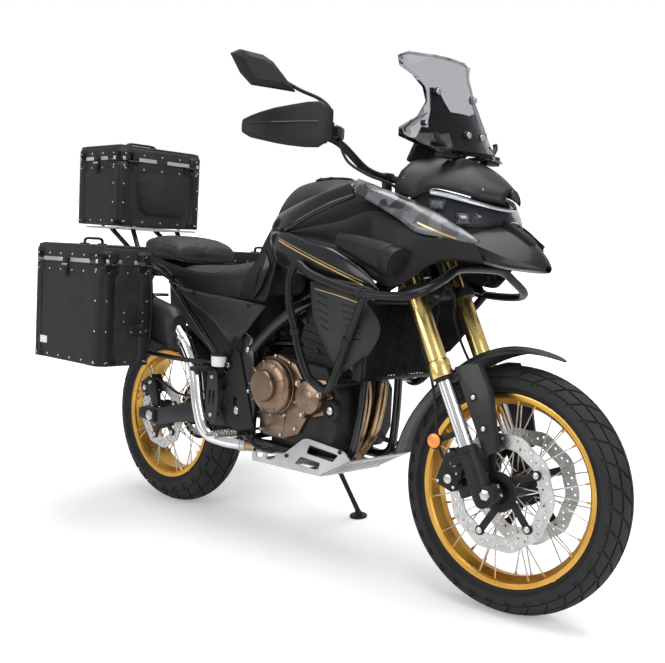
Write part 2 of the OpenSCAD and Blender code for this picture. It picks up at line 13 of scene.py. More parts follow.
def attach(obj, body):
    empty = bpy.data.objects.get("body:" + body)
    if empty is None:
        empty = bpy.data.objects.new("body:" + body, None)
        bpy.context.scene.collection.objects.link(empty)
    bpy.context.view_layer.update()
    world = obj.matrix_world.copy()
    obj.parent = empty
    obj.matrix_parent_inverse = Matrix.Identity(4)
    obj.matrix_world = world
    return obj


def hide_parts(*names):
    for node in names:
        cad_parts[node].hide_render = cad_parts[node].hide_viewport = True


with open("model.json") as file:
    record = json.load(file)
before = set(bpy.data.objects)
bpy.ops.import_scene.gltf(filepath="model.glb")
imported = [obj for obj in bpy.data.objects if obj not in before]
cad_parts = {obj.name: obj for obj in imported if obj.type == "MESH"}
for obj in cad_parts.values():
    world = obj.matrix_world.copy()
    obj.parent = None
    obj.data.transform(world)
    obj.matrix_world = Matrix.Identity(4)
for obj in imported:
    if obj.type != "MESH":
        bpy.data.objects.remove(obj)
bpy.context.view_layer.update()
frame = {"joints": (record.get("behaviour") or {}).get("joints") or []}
joints = {j["name"]: j for j in frame["joints"]}

# %% [markdown]
# The machine stands on its side stand, so nothing on it is level. Drawing a leaning mirror or
# a steered mudguard directly would be awkward, so each piece is drawn in millimetres on an
# upright machine: origin where the rear tyre meets the ground, X forward, Y to the left.
# Two matrices, read off the wheel axles and the steering head, then set it in its real place.

# %% Working frames
RAKE = math.radians(27.5)
WHEELBASE, REAR_R, FRONT_R = 1445, 321, 328.5
LEG_X, LEG_Y = -21, 117


def working_frame(axle, here):
    across, head = Vector(joints[axle]["axis"]), Vector(joints["steering_head"]["axis"])
    square = across.cross(head)
    x = square * math.cos(RAKE) - head * math.sin(RAKE)
    z = square * math.sin(RAKE) + head * math.cos(RAKE)
    turn = Matrix((x, across, z)).transposed()
    corner = Vector(joints[axle]["pos_m"]) - turn @ Vector(here) / 1000
    return Matrix.Translation(corner) @ turn.to_4x4() @ Matrix.Scale(0.001, 4)


def spun(angle, axis="Y"):
    return Matrix.Rotation(angle, 4, axis)


def shifted(place, x=0, y=0, z=0):
    return place @ Matrix.Translation((x, y, z))


UPRIGHT = working_frame("rear_axle", (0, 0, REAR_R))
STEERED = working_frame("front_axle", (WHEELBASE, 0, FRONT_R))
REAR_WHEEL = shifted(UPRIGHT, z=REAR_R)
FRONT_WHEEL = shifted(STEERED, WHEELBASE, 0, FRONT_R)
FORK = FRONT_WHEEL @ spun(-RAKE)
lean = math.degrees(math.acos(UPRIGHT.to_3x3().normalized().col[2].z))
print(f"the machine leans {lean:.1f} degrees")

# %% [markdown]
# A few helpers carry most of the work. `rows` extrudes one line of points into the next, so
# tubes, panels and cushions all start as a strip or a ring that is pulled along. `path`
# rounds a drawn route, and `finish_piece` puts a mesh in its place on its body.

# %% Mesh helpers
def ring_edges(bm, points, closed):
    verts = [bm.verts.new(p) for p in points]
    edges = [bm.edges.new(pair) for pair in zip(verts, verts[1:])]
    if closed:
        edges.append(bm.edges.new((verts[-1], verts[0])))
    return verts, edges


def verts_of(geom):
    return [g for g in geom if isinstance(g, bmesh.types.BMVert)]


def soften(bm, edges, width, segments=2):
    """Rounds edges off a little, as every made part has them."""
    bmesh.ops.bevel(bm, geom=edges, offset=width, segments=segments, affect="EDGES", profile=0.5,
                    material=-1)


def rows(bm, lines, closed=True):
    """Pulls the first line of points through all the others, as a ring or an open strip."""
    verts, edges = ring_edges(bm, lines[0], closed)
    first = edges
    for line in lines[1:]:
        order = {v.co.copy().freeze(): i for i, v in enumerate(verts)}
        made = bmesh.ops.extrude_edge_only(bm, edges=edges)["geom"]
        new = sorted(verts_of(made),
                     key=lambda v: order[v.co.copy().freeze()])
        fresh = set(new)
        edges = [g for g in made if isinstance(g, bmesh.types.BMEdge) and fresh.issuperset(g.verts)]
        for v, p in zip(new, line):
            v.co = p
        verts = new
    if closed:
        bmesh.ops.contextual_create(bm, geom=first)
        bmesh.ops.contextual_create(bm, geom=edges)
        bmesh.ops.recalc_face_normals(bm, faces=bm.faces)
    return bm


def path(points, steps=5):
    """A smooth route through given points."""
    pts = [Vector(p) for p in points]
    route = []
    for i in range(len(pts) - 1):
        a, b, c, d = pts[max(i - 1, 0)], pts[i], pts[i + 1], pts[min(i + 2, len(pts) - 1)]
        for k in range(steps):
            t = k / steps
            route.append(0.5 * (2 * b + (c - a) * t + (2 * a - 5 * b + 4 * c - d) * t * t
                                + (3 * b - a - 3 * c + d) * t ** 3))
    return route + [pts[-1]]


def tube(bm, route, radius, sides=12, flat=1.0):
    """A round bar along a route. radius is one number, or one for each point of the route."""
    sizes = radius if isinstance(radius, list) else [radius] * len(route)
    up = Vector((0, 0, 1)) if abs((route[1] - route[0]).normalized().z) < 0.9 else Vector((0, 1, 0))
    lines = []
    for i, p in enumerate(route):
        ahead = (route[min(i + 1, len(route) - 1)] - route[max(i - 1, 0)]).normalized()
        side = up.cross(ahead).normalized()
        up = ahead.cross(side)
        turn = [2 * math.pi * k / sides for k in range(sides)]
        lines.append([p + sizes[i] * (math.cos(a) * side + flat * math.sin(a) * up) for a in turn])
    return rows(bm, lines)


def bar(bm, a, b, radius, sides=16):
    return tube(bm, [Vector(a), Vector(b)], radius, sides)


def turned(bm, profile, steps=96, closed=False):
    """Spins a profile of (radius, y) points about the Y axis."""
    verts, edges = ring_edges(bm, [(r, y, 0) for r, y in profile], closed)
    bmesh.ops.spin(bm, geom=verts + edges, axis=(0, 1, 0), cent=(0, 0, 0), steps=steps,
                   angle=2 * math.pi, use_merge=True)
    bmesh.ops.remove_doubles(bm, verts=bm.verts, dist=0.01)
    bmesh.ops.recalc_face_normals(bm, faces=bm.faces)
    return bm


def block(bm, size, at=(0, 0, 0), turn=None, bevel=0, segments=2):
    """A box with eased edges."""
    made = bmesh.ops.create_cube(bm, size=1)["verts"]
    spot = Matrix.Translation(at) @ (turn or Matrix()) @ Matrix.Diagonal((*size, 1))
    bmesh.ops.transform(bm, matrix=spot, verts=made)
    if bevel:
        edges = {e for v in made for e in v.link_edges}
        soften(bm, list(edges), bevel, segments)
    return bm


def plate(bm, outline, y0, y1, bevel=1.5, segments=2):
    """A flat piece with an outline of (x, z) points, between two distances from the middle."""
    face = bm.faces.new([bm.verts.new((x, y0, z)) for x, z in outline])
    pulled = bmesh.ops.extrude_face_region(bm, geom=[face])["geom"]
    moved = verts_of(pulled)
    bmesh.ops.translate(bm, verts=moved, vec=(0, y1 - y0, 0))
    faces = list({f for v in moved for f in v.link_faces} | {face})
    bmesh.ops.recalc_face_normals(bm, faces=faces)
    if bevel:
        soften(bm, list({e for f in faces for e in f.edges}), bevel, segments)
    return bm


def disc(bm, at, radius, width, axis="Y", sides=32, bevel=0):
    """A short cylinder with eased rims, its axis along X, Y or Z."""
    turn = {"X": spun(math.pi / 2), "Y": spun(math.pi / 2, "X"),
            "Z": Matrix()}[axis]
    made = bmesh.ops.create_cone(bm, cap_ends=True, segments=sides, radius1=radius, radius2=radius,
                                 depth=width, matrix=Matrix.Translation(at) @ turn)["verts"]
    if bevel:
        rims = [e for e in {e for v in made for e in v.link_edges}
                if any(len(f.verts) == sides for f in e.link_faces)]
        soften(bm, rims, bevel, 2)
    return bm


def both(bm):
    """Adds the same shape on the other side of the machine."""
    copied = bmesh.ops.duplicate(bm, geom=bm.verts[:] + bm.edges[:] + bm.faces[:])["geom"]
    verts = verts_of(copied)
    faces = [g for g in copied if isinstance(g, bmesh.types.BMFace)]
    bmesh.ops.scale(bm, vec=(1, -1, 1), verts=verts)
    bmesh.ops.reverse_faces(bm, faces=faces)
    return bm


def around(bm, count, geom=None):
    """Repeats a shape about the Y axis, like spokes or tread blocks."""
    geom = geom or bm.verts[:] + bm.edges[:] + bm.faces[:]
    bmesh.ops.spin(bm, geom=geom, axis=(0, 1, 0), cent=(0, 0, 0), steps=count - 1,
                   angle=2 * math.pi * (count - 1) / count, use_duplicate=True)
    return bm


def oval(x, w, z0, z1, y=0, power=2 / 3.4, count=28):
    """A ring across the machine between two heights; a low power makes it squarer."""
    ring = []
    for k in range(count):
        c, s = math.cos(2 * math.pi * k / count), math.sin(2 * math.pi * k / count)
        ring.append((x, y + w * math.copysign(abs(c) ** power, c),
                     (z0 + z1) / 2 + (z1 - z0) / 2 * math.copysign(abs(s) ** power, s)))
    return ring


def finish_piece(name, bm, body, place, material, slot=None, stands_for=(), smooth=35, bevel=0, wall=0):
    """Sets the mesh in its place, gives it its finish and hangs it on its body."""
    bmesh.ops.transform(bm, matrix=place, verts=bm.verts)
    mesh = bpy.data.meshes.new(name)
    bm.to_mesh(mesh)
    bm.free()
    mesh.shade_smooth()
    mesh.set_sharp_from_angle(angle=math.radians(smooth))
    mesh.materials.append(material)
    obj = bpy.data.objects.new(name, mesh)
    bpy.context.scene.collection.objects.link(obj)
    if wall:
        solid = obj.modifiers.new("wall", "SOLIDIFY")
        solid.thickness, solid.offset = wall / 1000, -1
    if bevel:
        eased = obj.modifiers.new("edges", "BEVEL")
        eased.width, eased.segments, eased.limit_method = bevel / 1000, 2, "ANGLE"
        eased.angle_limit = math.radians(30)
    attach(obj, body)
    if stands_for:
        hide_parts(*stands_for)
    return obj


def on_frame(name, bm, material, node, main=False, **look):
    """A piece of the chassis: the main one stands for its node, whose part it hides."""
    slot, stands = (None, [node]) if main else (node, ())
    return finish_piece(name, bm, "chassis", UPRIGHT, material, slot, stands, **look)


def on_steering(name, bm, place, material, node, main=False, **look):
    """The same for what turns with the handlebar."""
    slot, stands = (None, [node]) if main else (node, ())
    return finish_piece(name, bm, "steering", place, material, slot, stands, **look)

# %% [markdown]
# One recipe makes most finishes. A coarse noise varies the colour and the roughness a little,
# as dust, handling and mould marks do, and a fine noise gives the grain that catches the
# light. What is the same all over, such as metal or clear coat, is set on the shader itself.

# %% Finish recipe
def finish(name, dark, light, rough=(0.4, 0.5), metal=0.0, patches=9, grain=400, bump=0.15,
           coat=0.0, depth=0.0004, pattern="NOISE"):
    """A procedural finish: colours dark to light in soft patches, with a grain of its own."""
    m = bpy.data.materials.new(name)
    m.use_nodes = True
    nt, link = m.node_tree.nodes, m.node_tree.links.new
    shader, place = nt["Principled BSDF"], nt.new("ShaderNodeTexCoord")
    shader.inputs["Metallic"].default_value = metal
    shader.inputs["Coat Weight"].default_value = coat
    shader.inputs["Specular IOR Level"].default_value = 0.5 if metal > 0.5 or coat > 0.9 else 0.25
    shader.inputs["Coat Roughness"].default_value = 0.06
    cloud = nt.new("ShaderNodeTexNoise")
    cloud.inputs["Scale"].default_value = patches
    cloud.inputs["Detail"].default_value = 5
    link(place.outputs["Object"], cloud.inputs["Vector"])
    tint = nt.new("ShaderNodeValToRGB")
    tint.color_ramp.elements[0].position, tint.color_ramp.elements[1].position = 0.35, 0.65
    tint.color_ramp.elements[0].color = (*dark, 1)
    tint.color_ramp.elements[1].color = (*light, 1)
    link(cloud.outputs["Fac"], tint.inputs["Fac"])
    link(tint.outputs["Color"], shader.inputs["Base Color"])
    dull = nt.new("ShaderNodeMapRange")
    dull.inputs["From Min"].default_value, dull.inputs["From Max"].default_value = 0.3, 0.7
    dull.inputs["To Min"].default_value, dull.inputs["To Max"].default_value = rough
    link(cloud.outputs["Fac"], dull.inputs["Value"])
    link(dull.outputs["Result"], shader.inputs["Roughness"])
    if pattern == "NOISE":
        fine = nt.new("ShaderNodeTexNoise")
        fine.inputs["Detail"].default_value = 2
    else:
        fine = nt.new("ShaderNodeTexVoronoi")
        fine.feature = pattern
    fine.inputs["Scale"].default_value = grain
    link(place.outputs["Object"], fine.inputs["Vector"])
    relief = nt.new("ShaderNodeBump")
    relief.inputs["Strength"].default_value, relief.inputs["Distance"].default_value = bump, depth
    link(fine.outputs["Fac" if pattern == "NOISE" else "Distance"], relief.inputs["Height"])
    link(relief.outputs["Normal"], shader.inputs["Normal"])
    return m


rubber = finish("tyre_rubber", (0.016, 0.016, 0.017), (0.027, 0.027, 0.029), (0.62, 0.78), grain=900,
                bump=0.25)
gold_rim = finish("gold_anodised_rim", (0.66, 0.36, 0.07), (0.78, 0.45, 0.1), (0.26, 0.36), 1, 14, 700, 0.05)
gold_fork = finish("gold_anodised_fork", (0.74, 0.55, 0.2), (0.82, 0.63, 0.26), (0.2, 0.28), 1, 20, 900,
                   0.05)
chrome = finish("hard_chrome", (0.78, 0.79, 0.82), (0.86, 0.87, 0.9), (0.06, 0.1), 1, 12, 800, 0.02)
steel = finish("stainless_steel", (0.55, 0.54, 0.52), (0.66, 0.65, 0.63), (0.22, 0.34), 1, 25, 900, 0.08)
disc_steel = finish("ground_disc_steel", (0.5, 0.5, 0.49), (0.62, 0.62, 0.61), (0.3, 0.42), 1, 60, 1500, 0.1)
cast_black = finish("cast_black", (0.009, 0.009, 0.01), (0.016, 0.016, 0.017), (0.4, 0.5), 0, 25, 700,
                    0.25, depth=0.0006)
bar_black = finish("powder_coat_black", (0.007, 0.007, 0.008), (0.012, 0.012, 0.013), (0.24, 0.34), 0, 12,
                   1500, 0.12)
plastic = finish("moulded_black_plastic", (0.009, 0.009, 0.01), (0.014, 0.014, 0.015), (0.42, 0.55), 0, 10,
                 1800, 0.3)
gloss = finish("gloss_graphite_paint", (0.007, 0.007, 0.008), (0.012, 0.012, 0.014), (0.16, 0.24), 0.2,
               4, 2500, 0.03, coat=0.35)
grey_satin = finish("satin_grey_paint", (0.024, 0.025, 0.027), (0.036, 0.037, 0.04), (0.34, 0.44), 0.3,
                    6, 2500, 0.05, coat=0.1)
amber = finish("amber_reflector", (0.8, 0.2, 0.01), (0.95, 0.3, 0.02), (0.15, 0.25), 0, 30, 500, 0.8,
               coat=1, depth=0.001, pattern="F1")
print("finishes so far:", len(bpy.data.materials))

# %% [markdown]
# A plain studio: a pale floor that takes the shadow, a large soft lamp overhead and two
# at the sides, so that dark paint shows its shape as long soft highlights. The world is
# white for the camera and for reflections, and gives an even fill.

# %% Floor, light and camera
def studio_floor():
    bm = bmesh.new()
    bmesh.ops.create_grid(bm, x_segments=1, y_segments=1, size=30)
    mesh = bpy.data.meshes.new("studio_floor")
    bm.to_mesh(mesh)
    bm.free()
    m = bpy.data.materials.new("studio_paper")
    m.use_nodes = True
    nt, link = m.node_tree.nodes, m.node_tree.links.new
    shader = nt["Principled BSDF"]
    shader.inputs["Base Color"].default_value = (0.86, 0.86, 0.86, 1)
    shader.inputs["Roughness"].default_value = 0.9
    shader.inputs["Specular IOR Level"].default_value = 0
    lift, ray = nt.new("ShaderNodeMath"), nt.new("ShaderNodeLightPath")
    place, far = nt.new("ShaderNodeTexCoord"), nt.new("ShaderNodeVectorMath")
    glow = nt.new("ShaderNodeMapRange")
    far.operation, lift.operation = "LENGTH", "MULTIPLY"
    glow.inputs["From Min"].default_value, glow.inputs["From Max"].default_value = 1.6, 4.5
    glow.inputs["To Min"].default_value, glow.inputs["To Max"].default_value = 0.24, 1
    link(place.outputs["Object"], far.inputs[0])
    link(far.outputs["Value"], glow.inputs["Value"])
    link(glow.outputs["Result"], lift.inputs[1])
    link(ray.outputs["Is Camera Ray"], lift.inputs[0])
    shader.inputs["Emission Color"].default_value = (1, 1, 1, 1)
    link(lift.outputs[0], shader.inputs["Emission Strength"])
    mesh.materials.append(m)
    floor = bpy.data.objects.new("studio_floor", mesh)
    bpy.context.scene.collection.objects.link(floor)


def soft_lamp(name, at, size, watts, aim=(0, 0, 0.7)):
    lamp = bpy.data.lights.new(name, "AREA")
    lamp.shape, lamp.size, lamp.size_y, lamp.energy = "RECTANGLE", *size, watts
    obj = bpy.data.objects.new(name, lamp)
    obj.location = at
    obj.rotation_euler = (Vector(aim) - Vector(at)).to_track_quat("-Z", "Y").to_euler()
    bpy.context.scene.collection.objects.link(obj)


def studio_world():
    world = bpy.data.worlds.new("studio")
    bpy.context.scene.world = world
    world.use_nodes = True
    nt, link = world.node_tree.nodes, world.node_tree.links.new
    fill, white, seen = nt["Background"], nt.new("ShaderNodeBackground"), nt.new("ShaderNodeMixShader")
    fill.inputs["Color"].default_value, fill.inputs["Strength"].default_value = (1, 1, 1, 1), 0.55
    white.inputs["Color"].default_value, white.inputs["Strength"].default_value = (1, 1, 1, 1), 1
    ray = nt.new("ShaderNodeLightPath")
    pick = nt.new("ShaderNodeMath")
    pick.operation = "MAXIMUM"
    link(ray.outputs["Is Camera Ray"], pick.inputs[0])
    link(ray.outputs["Is Transmission Ray"], pick.inputs[1])
    link(pick.outputs[0], seen.inputs["Fac"])
    link(fill.outputs[0], seen.inputs[1])
    link(white.outputs[0], seen.inputs[2])
    link(seen.outputs[0], nt["World Output"].inputs["Surface"])


studio_floor()
studio_world()
soft_lamp("overhead_softbox", (0.3, 0.6, 4.2), (4.5, 3.0), 190)
soft_lamp("front_softbox", (4.6, -1.2, 2.6), (2.4, 2.4), 70)
soft_lamp("side_softbox", (-1.5, -4.6, 2.4), (3.2, 2.0), 70)

# The eye, where it looks and its way up, in the frame of the upright machine.
EYE, LOOK, HEAD_UP = (2842.9, -2159.2, 914), (-0.6929, 0.7170, -0.0757), (-0.0888, 0.0193, 0.9959)
turn = UPRIGHT.to_3x3().normalized()
ahead = (turn @ Vector(LOOK)).normalized()
side = ahead.cross(turn @ Vector(HEAD_UP)).normalized()
lens = bpy.data.cameras.new("camera")
lens.lens, lens.sensor_width = 52.38, 36
camera = bpy.data.objects.new("camera", lens)
camera.matrix_world = (Matrix.Translation(UPRIGHT @ Vector(EYE))
                       @ Matrix((side, side.cross(ahead), -ahead)).transposed().to_4x4())
bpy.context.scene.collection.objects.link(camera)
bpy.context.scene.camera = camera
bpy.context.scene.view_settings.view_transform = "Standard"
print("camera at", [round(v, 3) for v in camera.location])

# %% [markdown]
# A road-biased adventure tyre is a round carcass with wide blocks cut by slanting grooves.
# The carcass is one profile spun about the axle. One block is a small grid bent to the crown,
# whose edge is pulled down into the carcass, and a spin repeats it round the wheel.

# %% Tyres
def crown_point(r, w, across, turn, sink=0.0):
    """A place on the tread: degrees off the middle, degrees round the wheel, depth below it."""
    a, t, crown = math.radians(across), math.radians(turn), w / 2
    reach = r - crown + (crown - sink) * math.cos(a)
    return Vector((reach * math.cos(t), (crown - sink) * math.sin(a), reach * math.sin(t)))


def tread_block(bm, r, w, across, turn, slant, depth=5.5):
    """One block between two angles across and two round the wheel, its grooves slanting."""
    lines = [[crown_point(r, w, across[0] + (across[1] - across[0]) * i / 4,
                          turn[0] + (turn[1] - turn[0]) * k / 3 + slant * i / 4)
              for i in range(5)] for k in range(4)]
    known = set(bm.faces)
    rows(bm, lines, closed=False)
    faces = [f for f in bm.faces if f not in known]
    rim = [e for e in {e for f in faces for e in f.edges} if len(e.link_faces) == 1]
    made = bmesh.ops.extrude_edge_only(bm, edges=rim)["geom"]
    for v in verts_of(made):
        out = Vector((v.co.x, 0, v.co.z)).normalized() * (r - w / 2)
        v.co = out + (v.co - out) * (1 - depth / (w / 2))
    soften(bm, rim, 0.9, 1)


def tyre(name, body, place, r, w, bead_r, bead_w, pitches, rows_across):
    bm = bmesh.new()
    half = [(bead_r, bead_w - 8), (bead_r + 1, bead_w), (bead_r + 8, bead_w + 4),
            (bead_r + 10, bead_w + 3.4), (bead_r + 12, bead_w + 5.4)]
    for across in range(98, 0, -7):
        p = crown_point(r, w, across, 0, 0.4 if across > 74 else 4.6)
        if p.x > bead_r + 15:
            half.append((p.x, p.y))
    profile = half + [(x, -y) for x, y in reversed(half)]
    turned(bm, profile, steps=120)
    carcass = set(bm.faces)
    step = 360 / pitches
    for low, high, start, length, slant in rows_across:
        for side in (1, -1):
            flip = 0.5 * step if side < 0 else 0
            tread_block(bm, r, w, (side * low, side * high),
                        (start * step + flip, (start + length) * step + flip), slant * step)
    fresh = [f for f in bm.faces if f not in carcass]
    geom = fresh + list({v for f in fresh for v in f.verts}) + list({e for f in fresh for e in f.edges})
    around(bm, pitches, geom)
    bmesh.ops.recalc_face_normals(bm, faces=bm.faces)
    return finish_piece(name, bm, body, place, rubber, name, [name], smooth=30)


tyre("front_tyre", "front_wheel", FRONT_WHEEL, FRONT_R, 110, 256, 38, 34,
     [(3, 33, 0, 0.86, 0.5), (37, 62, 0.55, 0.88, 0.35), (65, 82, 0.95, 0.6, 0.1)])
tyre("rear_tyre", "rear_wheel", REAR_WHEEL, REAR_R, 150, 230.5, 56, 28,
     [(3, 30, 0, 0.88, 0.5), (33, 58, 0.5, 0.9, 0.35), (61, 80, 0.9, 0.6, 0.1)])

# %% [markdown]
# The rims are rolled aluminium with a raised flange on each edge. The spokes are hooked into
# those flanges instead of the middle, so that the tyre can be tubeless. They leave the hub in
# crossing pairs, which carry braking in both directions.

# %% Rims and spokes
def rim(name, body, place, lip_r, half_w):
    half = [(lip_r, half_w), (lip_r - 1, half_w - 5), (lip_r - 12, half_w - 9),
            (lip_r - 14, half_w - 24), (lip_r - 26, half_w - 31)]
    under = [(lip_r - 30, half_w - 30), (lip_r - 22, half_w - 19), (lip_r - 17, half_w - 12),
             (lip_r - 17, half_w - 5), (lip_r - 13, half_w - 1), (lip_r - 4, half_w + 0.6)]
    profile = half + [(x, -y) for x, y in reversed(half)] + [(x, -y) for x, y in under[::-1]] + under
    bm = turned(bmesh.new(), profile, steps=144, closed=True)
    return finish_piece(name, bm, body, place, gold_rim, name, [name], smooth=28)


def spokes(name, body, place, lip_r, half_w, hub_r, hub_half, pairs, slot):
    """Thin wires with a nut where each meets the rim."""
    bm, nuts = bmesh.new(), bmesh.new()
    for side in (1, -1):
        for lead in (1, -1):
            a, b = math.radians(side * 90 / pairs), math.radians(side * 90 / pairs + lead * 24)
            hook = Vector(((hub_r - 3) * math.cos(a), side * (hub_half - 9 - lead * 2),
                           (hub_r - 3) * math.sin(a)))
            end = Vector(((lip_r - 15) * math.cos(b), side * (half_w - 9), (lip_r - 15) * math.sin(b)))
            bar(bm, hook, end, 1.9, 8)
            bar(nuts, end, end.lerp(hook, 0.07), 3.6, 6)
    around(bm, pairs)
    around(nuts, pairs)
    finish_piece(name + "_nipples", nuts, body, place, gold_rim, slot)
    return finish_piece(name, bm, body, place, steel, slot)


rim("front_rim", "front_wheel", FRONT_WHEEL, 255.5, 40)
rim("rear_rim", "rear_wheel", REAR_WHEEL, 230, 59)
spokes("front_spokes", "front_wheel", FRONT_WHEEL, 255.5, 40, 44, 60, 10, "front_rim")
spokes("rear_spokes", "rear_wheel", REAR_WHEEL, 230, 59, 52, 68, 9, "rear_rim")

# %% [markdown]
# Each hub is a black casting: a barrel between two spoke flanges, turned as one profile, with
# ribs between them. The brake discs have a waved edge and rows of holes that keep the pads
# clean. A disc starts as a flat grid of rings: some faces are inset, rounded off and removed.

# %% Hubs and brake discs
def hub(name, body, place, r, half, slot):
    side = [(12, half + 4), (26, half + 4), (28, half), (r, half - 6), (r + 1, half - 9), (r, half - 14),
            (r - 12, half - 20), (r - 16, half - 34)]
    bm = turned(bmesh.new(), side + [(x, -y) for x, y in reversed(side)], steps=72)
    for k in range(9):
        turn = spun(2 * math.pi * k / 9)
        block(bm, (5, 2 * half - 40, 12), (r - 12, 0, 0), turn, 1)
    return finish_piece(name, bm, body, place, cast_black, slot, smooth=30)


def brake_disc(name, body, place, r, inner, y, waves, slot, stands_for=()):
    rings, steps = 5, waves * 12
    profile = [(inner + (r - inner) * k / rings, y) for k in range(rings + 1)]
    bm = turned(bmesh.new(), profile, steps=steps, closed=False)
    bm.faces.ensure_lookup_table()
    holes = []
    for f in bm.faces:
        c = f.calc_center_median()
        ring = int((math.hypot(c.x, c.z) - inner) / (r - inner) * rings)
        step = int(math.degrees(math.atan2(c.z, c.x)) % 360 / (360 / steps))
        if ring in (1, 2, 3) and (step + 2 * ring) % 6 == 0:
            holes.append(f)
    for v in bm.verts:
        reach, a = math.hypot(v.co.x, v.co.z), math.atan2(v.co.z, v.co.x)
        swell = 1 + (3.2 if reach > (r + inner) / 2 else 2.2) * (math.cos(waves * a) - 1) / reach
        v.co.x, v.co.z = v.co.x * swell, v.co.z * swell
    bmesh.ops.inset_individual(bm, faces=holes, thickness=0.8, use_even_offset=True)
    bmesh.ops.delete(bm, geom=holes, context="FACES_ONLY")
    bmesh.ops.solidify(bm, geom=bm.faces[:], thickness=4.5)
    bmesh.ops.translate(bm, verts=bm.verts, vec=(0, -2.2 if y > 0 else 2.2, 0))
    bmesh.ops.recalc_face_normals(bm, faces=bm.faces)
    return finish_piece(name, bm, body, place, disc_steel, slot, stands_for, smooth=25)


def disc_carrier(name, body, place, y, inner, hub_r, arms, slot):
    """The black spider inside the disc, with a bright button at the end of each arm."""
    out = 1 if y > 0 else -1
    bm = turned(bmesh.new(), [(hub_r - 12, y - 4), (hub_r + 6, y - 4), (hub_r + 9, y), (hub_r + 6, y + 4),
                              (hub_r - 12, y + 4)], steps=60, closed=True)
    buttons = bmesh.new()
    for k in range(arms):
        turn = spun(2 * math.pi * (k + 0.3) / arms)
        arm = turn @ spun(0.25)
        mid = arm @ Vector(((hub_r + inner) / 2, y, 0))
        block(bm, (inner - hub_r + 4, 6, 20), mid, turn @ spun(0.5), 2)
        tip = turn @ spun(0.34) @ Vector((inner + 2, y, 0))
        disc(bm, tip, 13, 6, sides=24, bevel=1)
        disc(buttons, tip + Vector((0, out * 3.4, 0)), 8.5, 3, sides=24, bevel=1)
        disc(buttons, tip + Vector((0, out * 5, 0)), 4, 2, sides=16, bevel=0.6)
    finish_piece(name + "_buttons", buttons, body, place, steel, slot)
    return finish_piece(name, bm, body, place, cast_black, slot)


hub("front_hub", "front_wheel", FRONT_WHEEL, 42, 58, "front_rim")
hub("rear_hub", "rear_wheel", REAR_WHEEL, 50, 66, "rear_rim")
for side, name in ((-1, "right"), (1, "left")):
    stands = ["front_discs"] if side < 0 else []
    brake_disc(f"front_disc_{name}", "front_wheel", FRONT_WHEEL, 158, 118, side * 73, 10, "front_discs",
               stands)
    disc_carrier(f"front_disc_carrier_{name}", "front_wheel", FRONT_WHEEL, side * 73, 118, 44, 5,
                 "front_discs")
brake_disc("rear_brake_disc", "rear_wheel", REAR_WHEEL, 122, 84, -86, 9, "rear_disc", ["rear_disc"])
disc_carrier("rear_disc_carrier", "rear_wheel", REAR_WHEEL, -86, 84, 44, 5, "rear_disc")

# %% [markdown]
# The fork is upside down: a wide anodised tube above, held by the clamps, and a chromed tube
# that slides out of it into a black casting at the axle. All of these are turned parts, so
# each is one list of distances and radii pulled along the leg.

# %% Fork legs
def stem(bm, at, profile, axis=(0, 0, 1), sides=40):
    """A turned part along a straight line, from (distance, radius) pairs."""
    way = Vector(axis).normalized()
    return tube(bm, [Vector(at) + way * t for t, r in profile], [r for t, r in profile], sides)


def fork_legs():
    gold, slider, casting, bolts = (bmesh.new() for _ in range(4))
    leg = (LEG_X, LEG_Y, 0)
    stem(gold, leg, [(325, 23), (326, 29.5), (328, 30.5), (343, 30.5), (344, 29), (348, 29), (349, 30.5),
                     (370, 30.5), (372, 29.5), (374, 26.5), (864, 26.5), (868, 25), (869, 18)])
    stem(slider, leg, [(60, 20.4), (324, 20.4)])
    stem(casting, leg, [(314, 20.6), (315, 23.5), (324, 24)])
    stem(casting, leg, [(-30, 12), (-29, 17), (-22, 25), (-8, 28), (40, 29), (60, 27), (70, 26), (116, 26),
                        (118, 28), (131, 28), (135, 25), (135.5, 21)])
    disc(casting, (0, LEG_Y, 0), 26, 46, bevel=3)
    block(casting, (34, 30, 40), (12, LEG_Y, 0), None, 4)
    block(casting, (60, 14, 30), (-58, LEG_Y - 4, 26), None, 5)
    block(casting, (60, 14, 26), (-56, LEG_Y - 4, 112), None, 5)
    block(casting, (84, 8, 16), (-64, LEG_Y + 6, 176), None, 3)
    for z in (-11, 11):
        disc(bolts, (31, LEG_Y, z), 5.5, 5, "X", 6, 0.8)
    disc(bolts, (0, LEG_Y + 25, 0), 15, 7, "Y", 6, 1.5)
    disc(bolts, (0, LEG_Y + 28, 0), 10, 6, "Y", 24, 1)
    disc(bolts, (LEG_X, LEG_Y, 870), 8, 5, "Z", 6, 1)
    for bm in (gold, slider, casting, bolts):
        both(bm)
    bar(casting, (0, -LEG_Y, 0), (0, LEG_Y, 0), 11)
    on_steering("fork_outer_tubes", gold, FORK, gold_fork, "fork_tubes", True)
    on_steering("fork_sliders", slider, FORK, chrome, "fork_lowers")
    on_steering("fork_castings", casting, FORK, cast_black, "fork_lowers", True)
    on_steering("axle_bolts", bolts, FORK, steel, "fork_lowers")


def reflectors():
    lens, rim = bmesh.new(), bmesh.new()
    disc(rim, (-102, LEG_Y + 13, 178), 22, 6, bevel=1.5)
    disc(lens, (-102, LEG_Y + 16, 178), 19.5, 5, bevel=1.5)
    on_steering("reflector_rims", both(rim), FORK, plastic, "fork_lowers")
    on_steering("reflectors", both(lens), FORK, amber, "fork_lowers")


fork_legs()
reflectors()

# %% [markdown]
# The two clamps hold the legs and turn on the steering stem. A real one is a forging with
# round bosses, milled flat on top, so the outline is drawn round the bosses and the edges
# are eased. Pinch bolts close each boss on its tube.

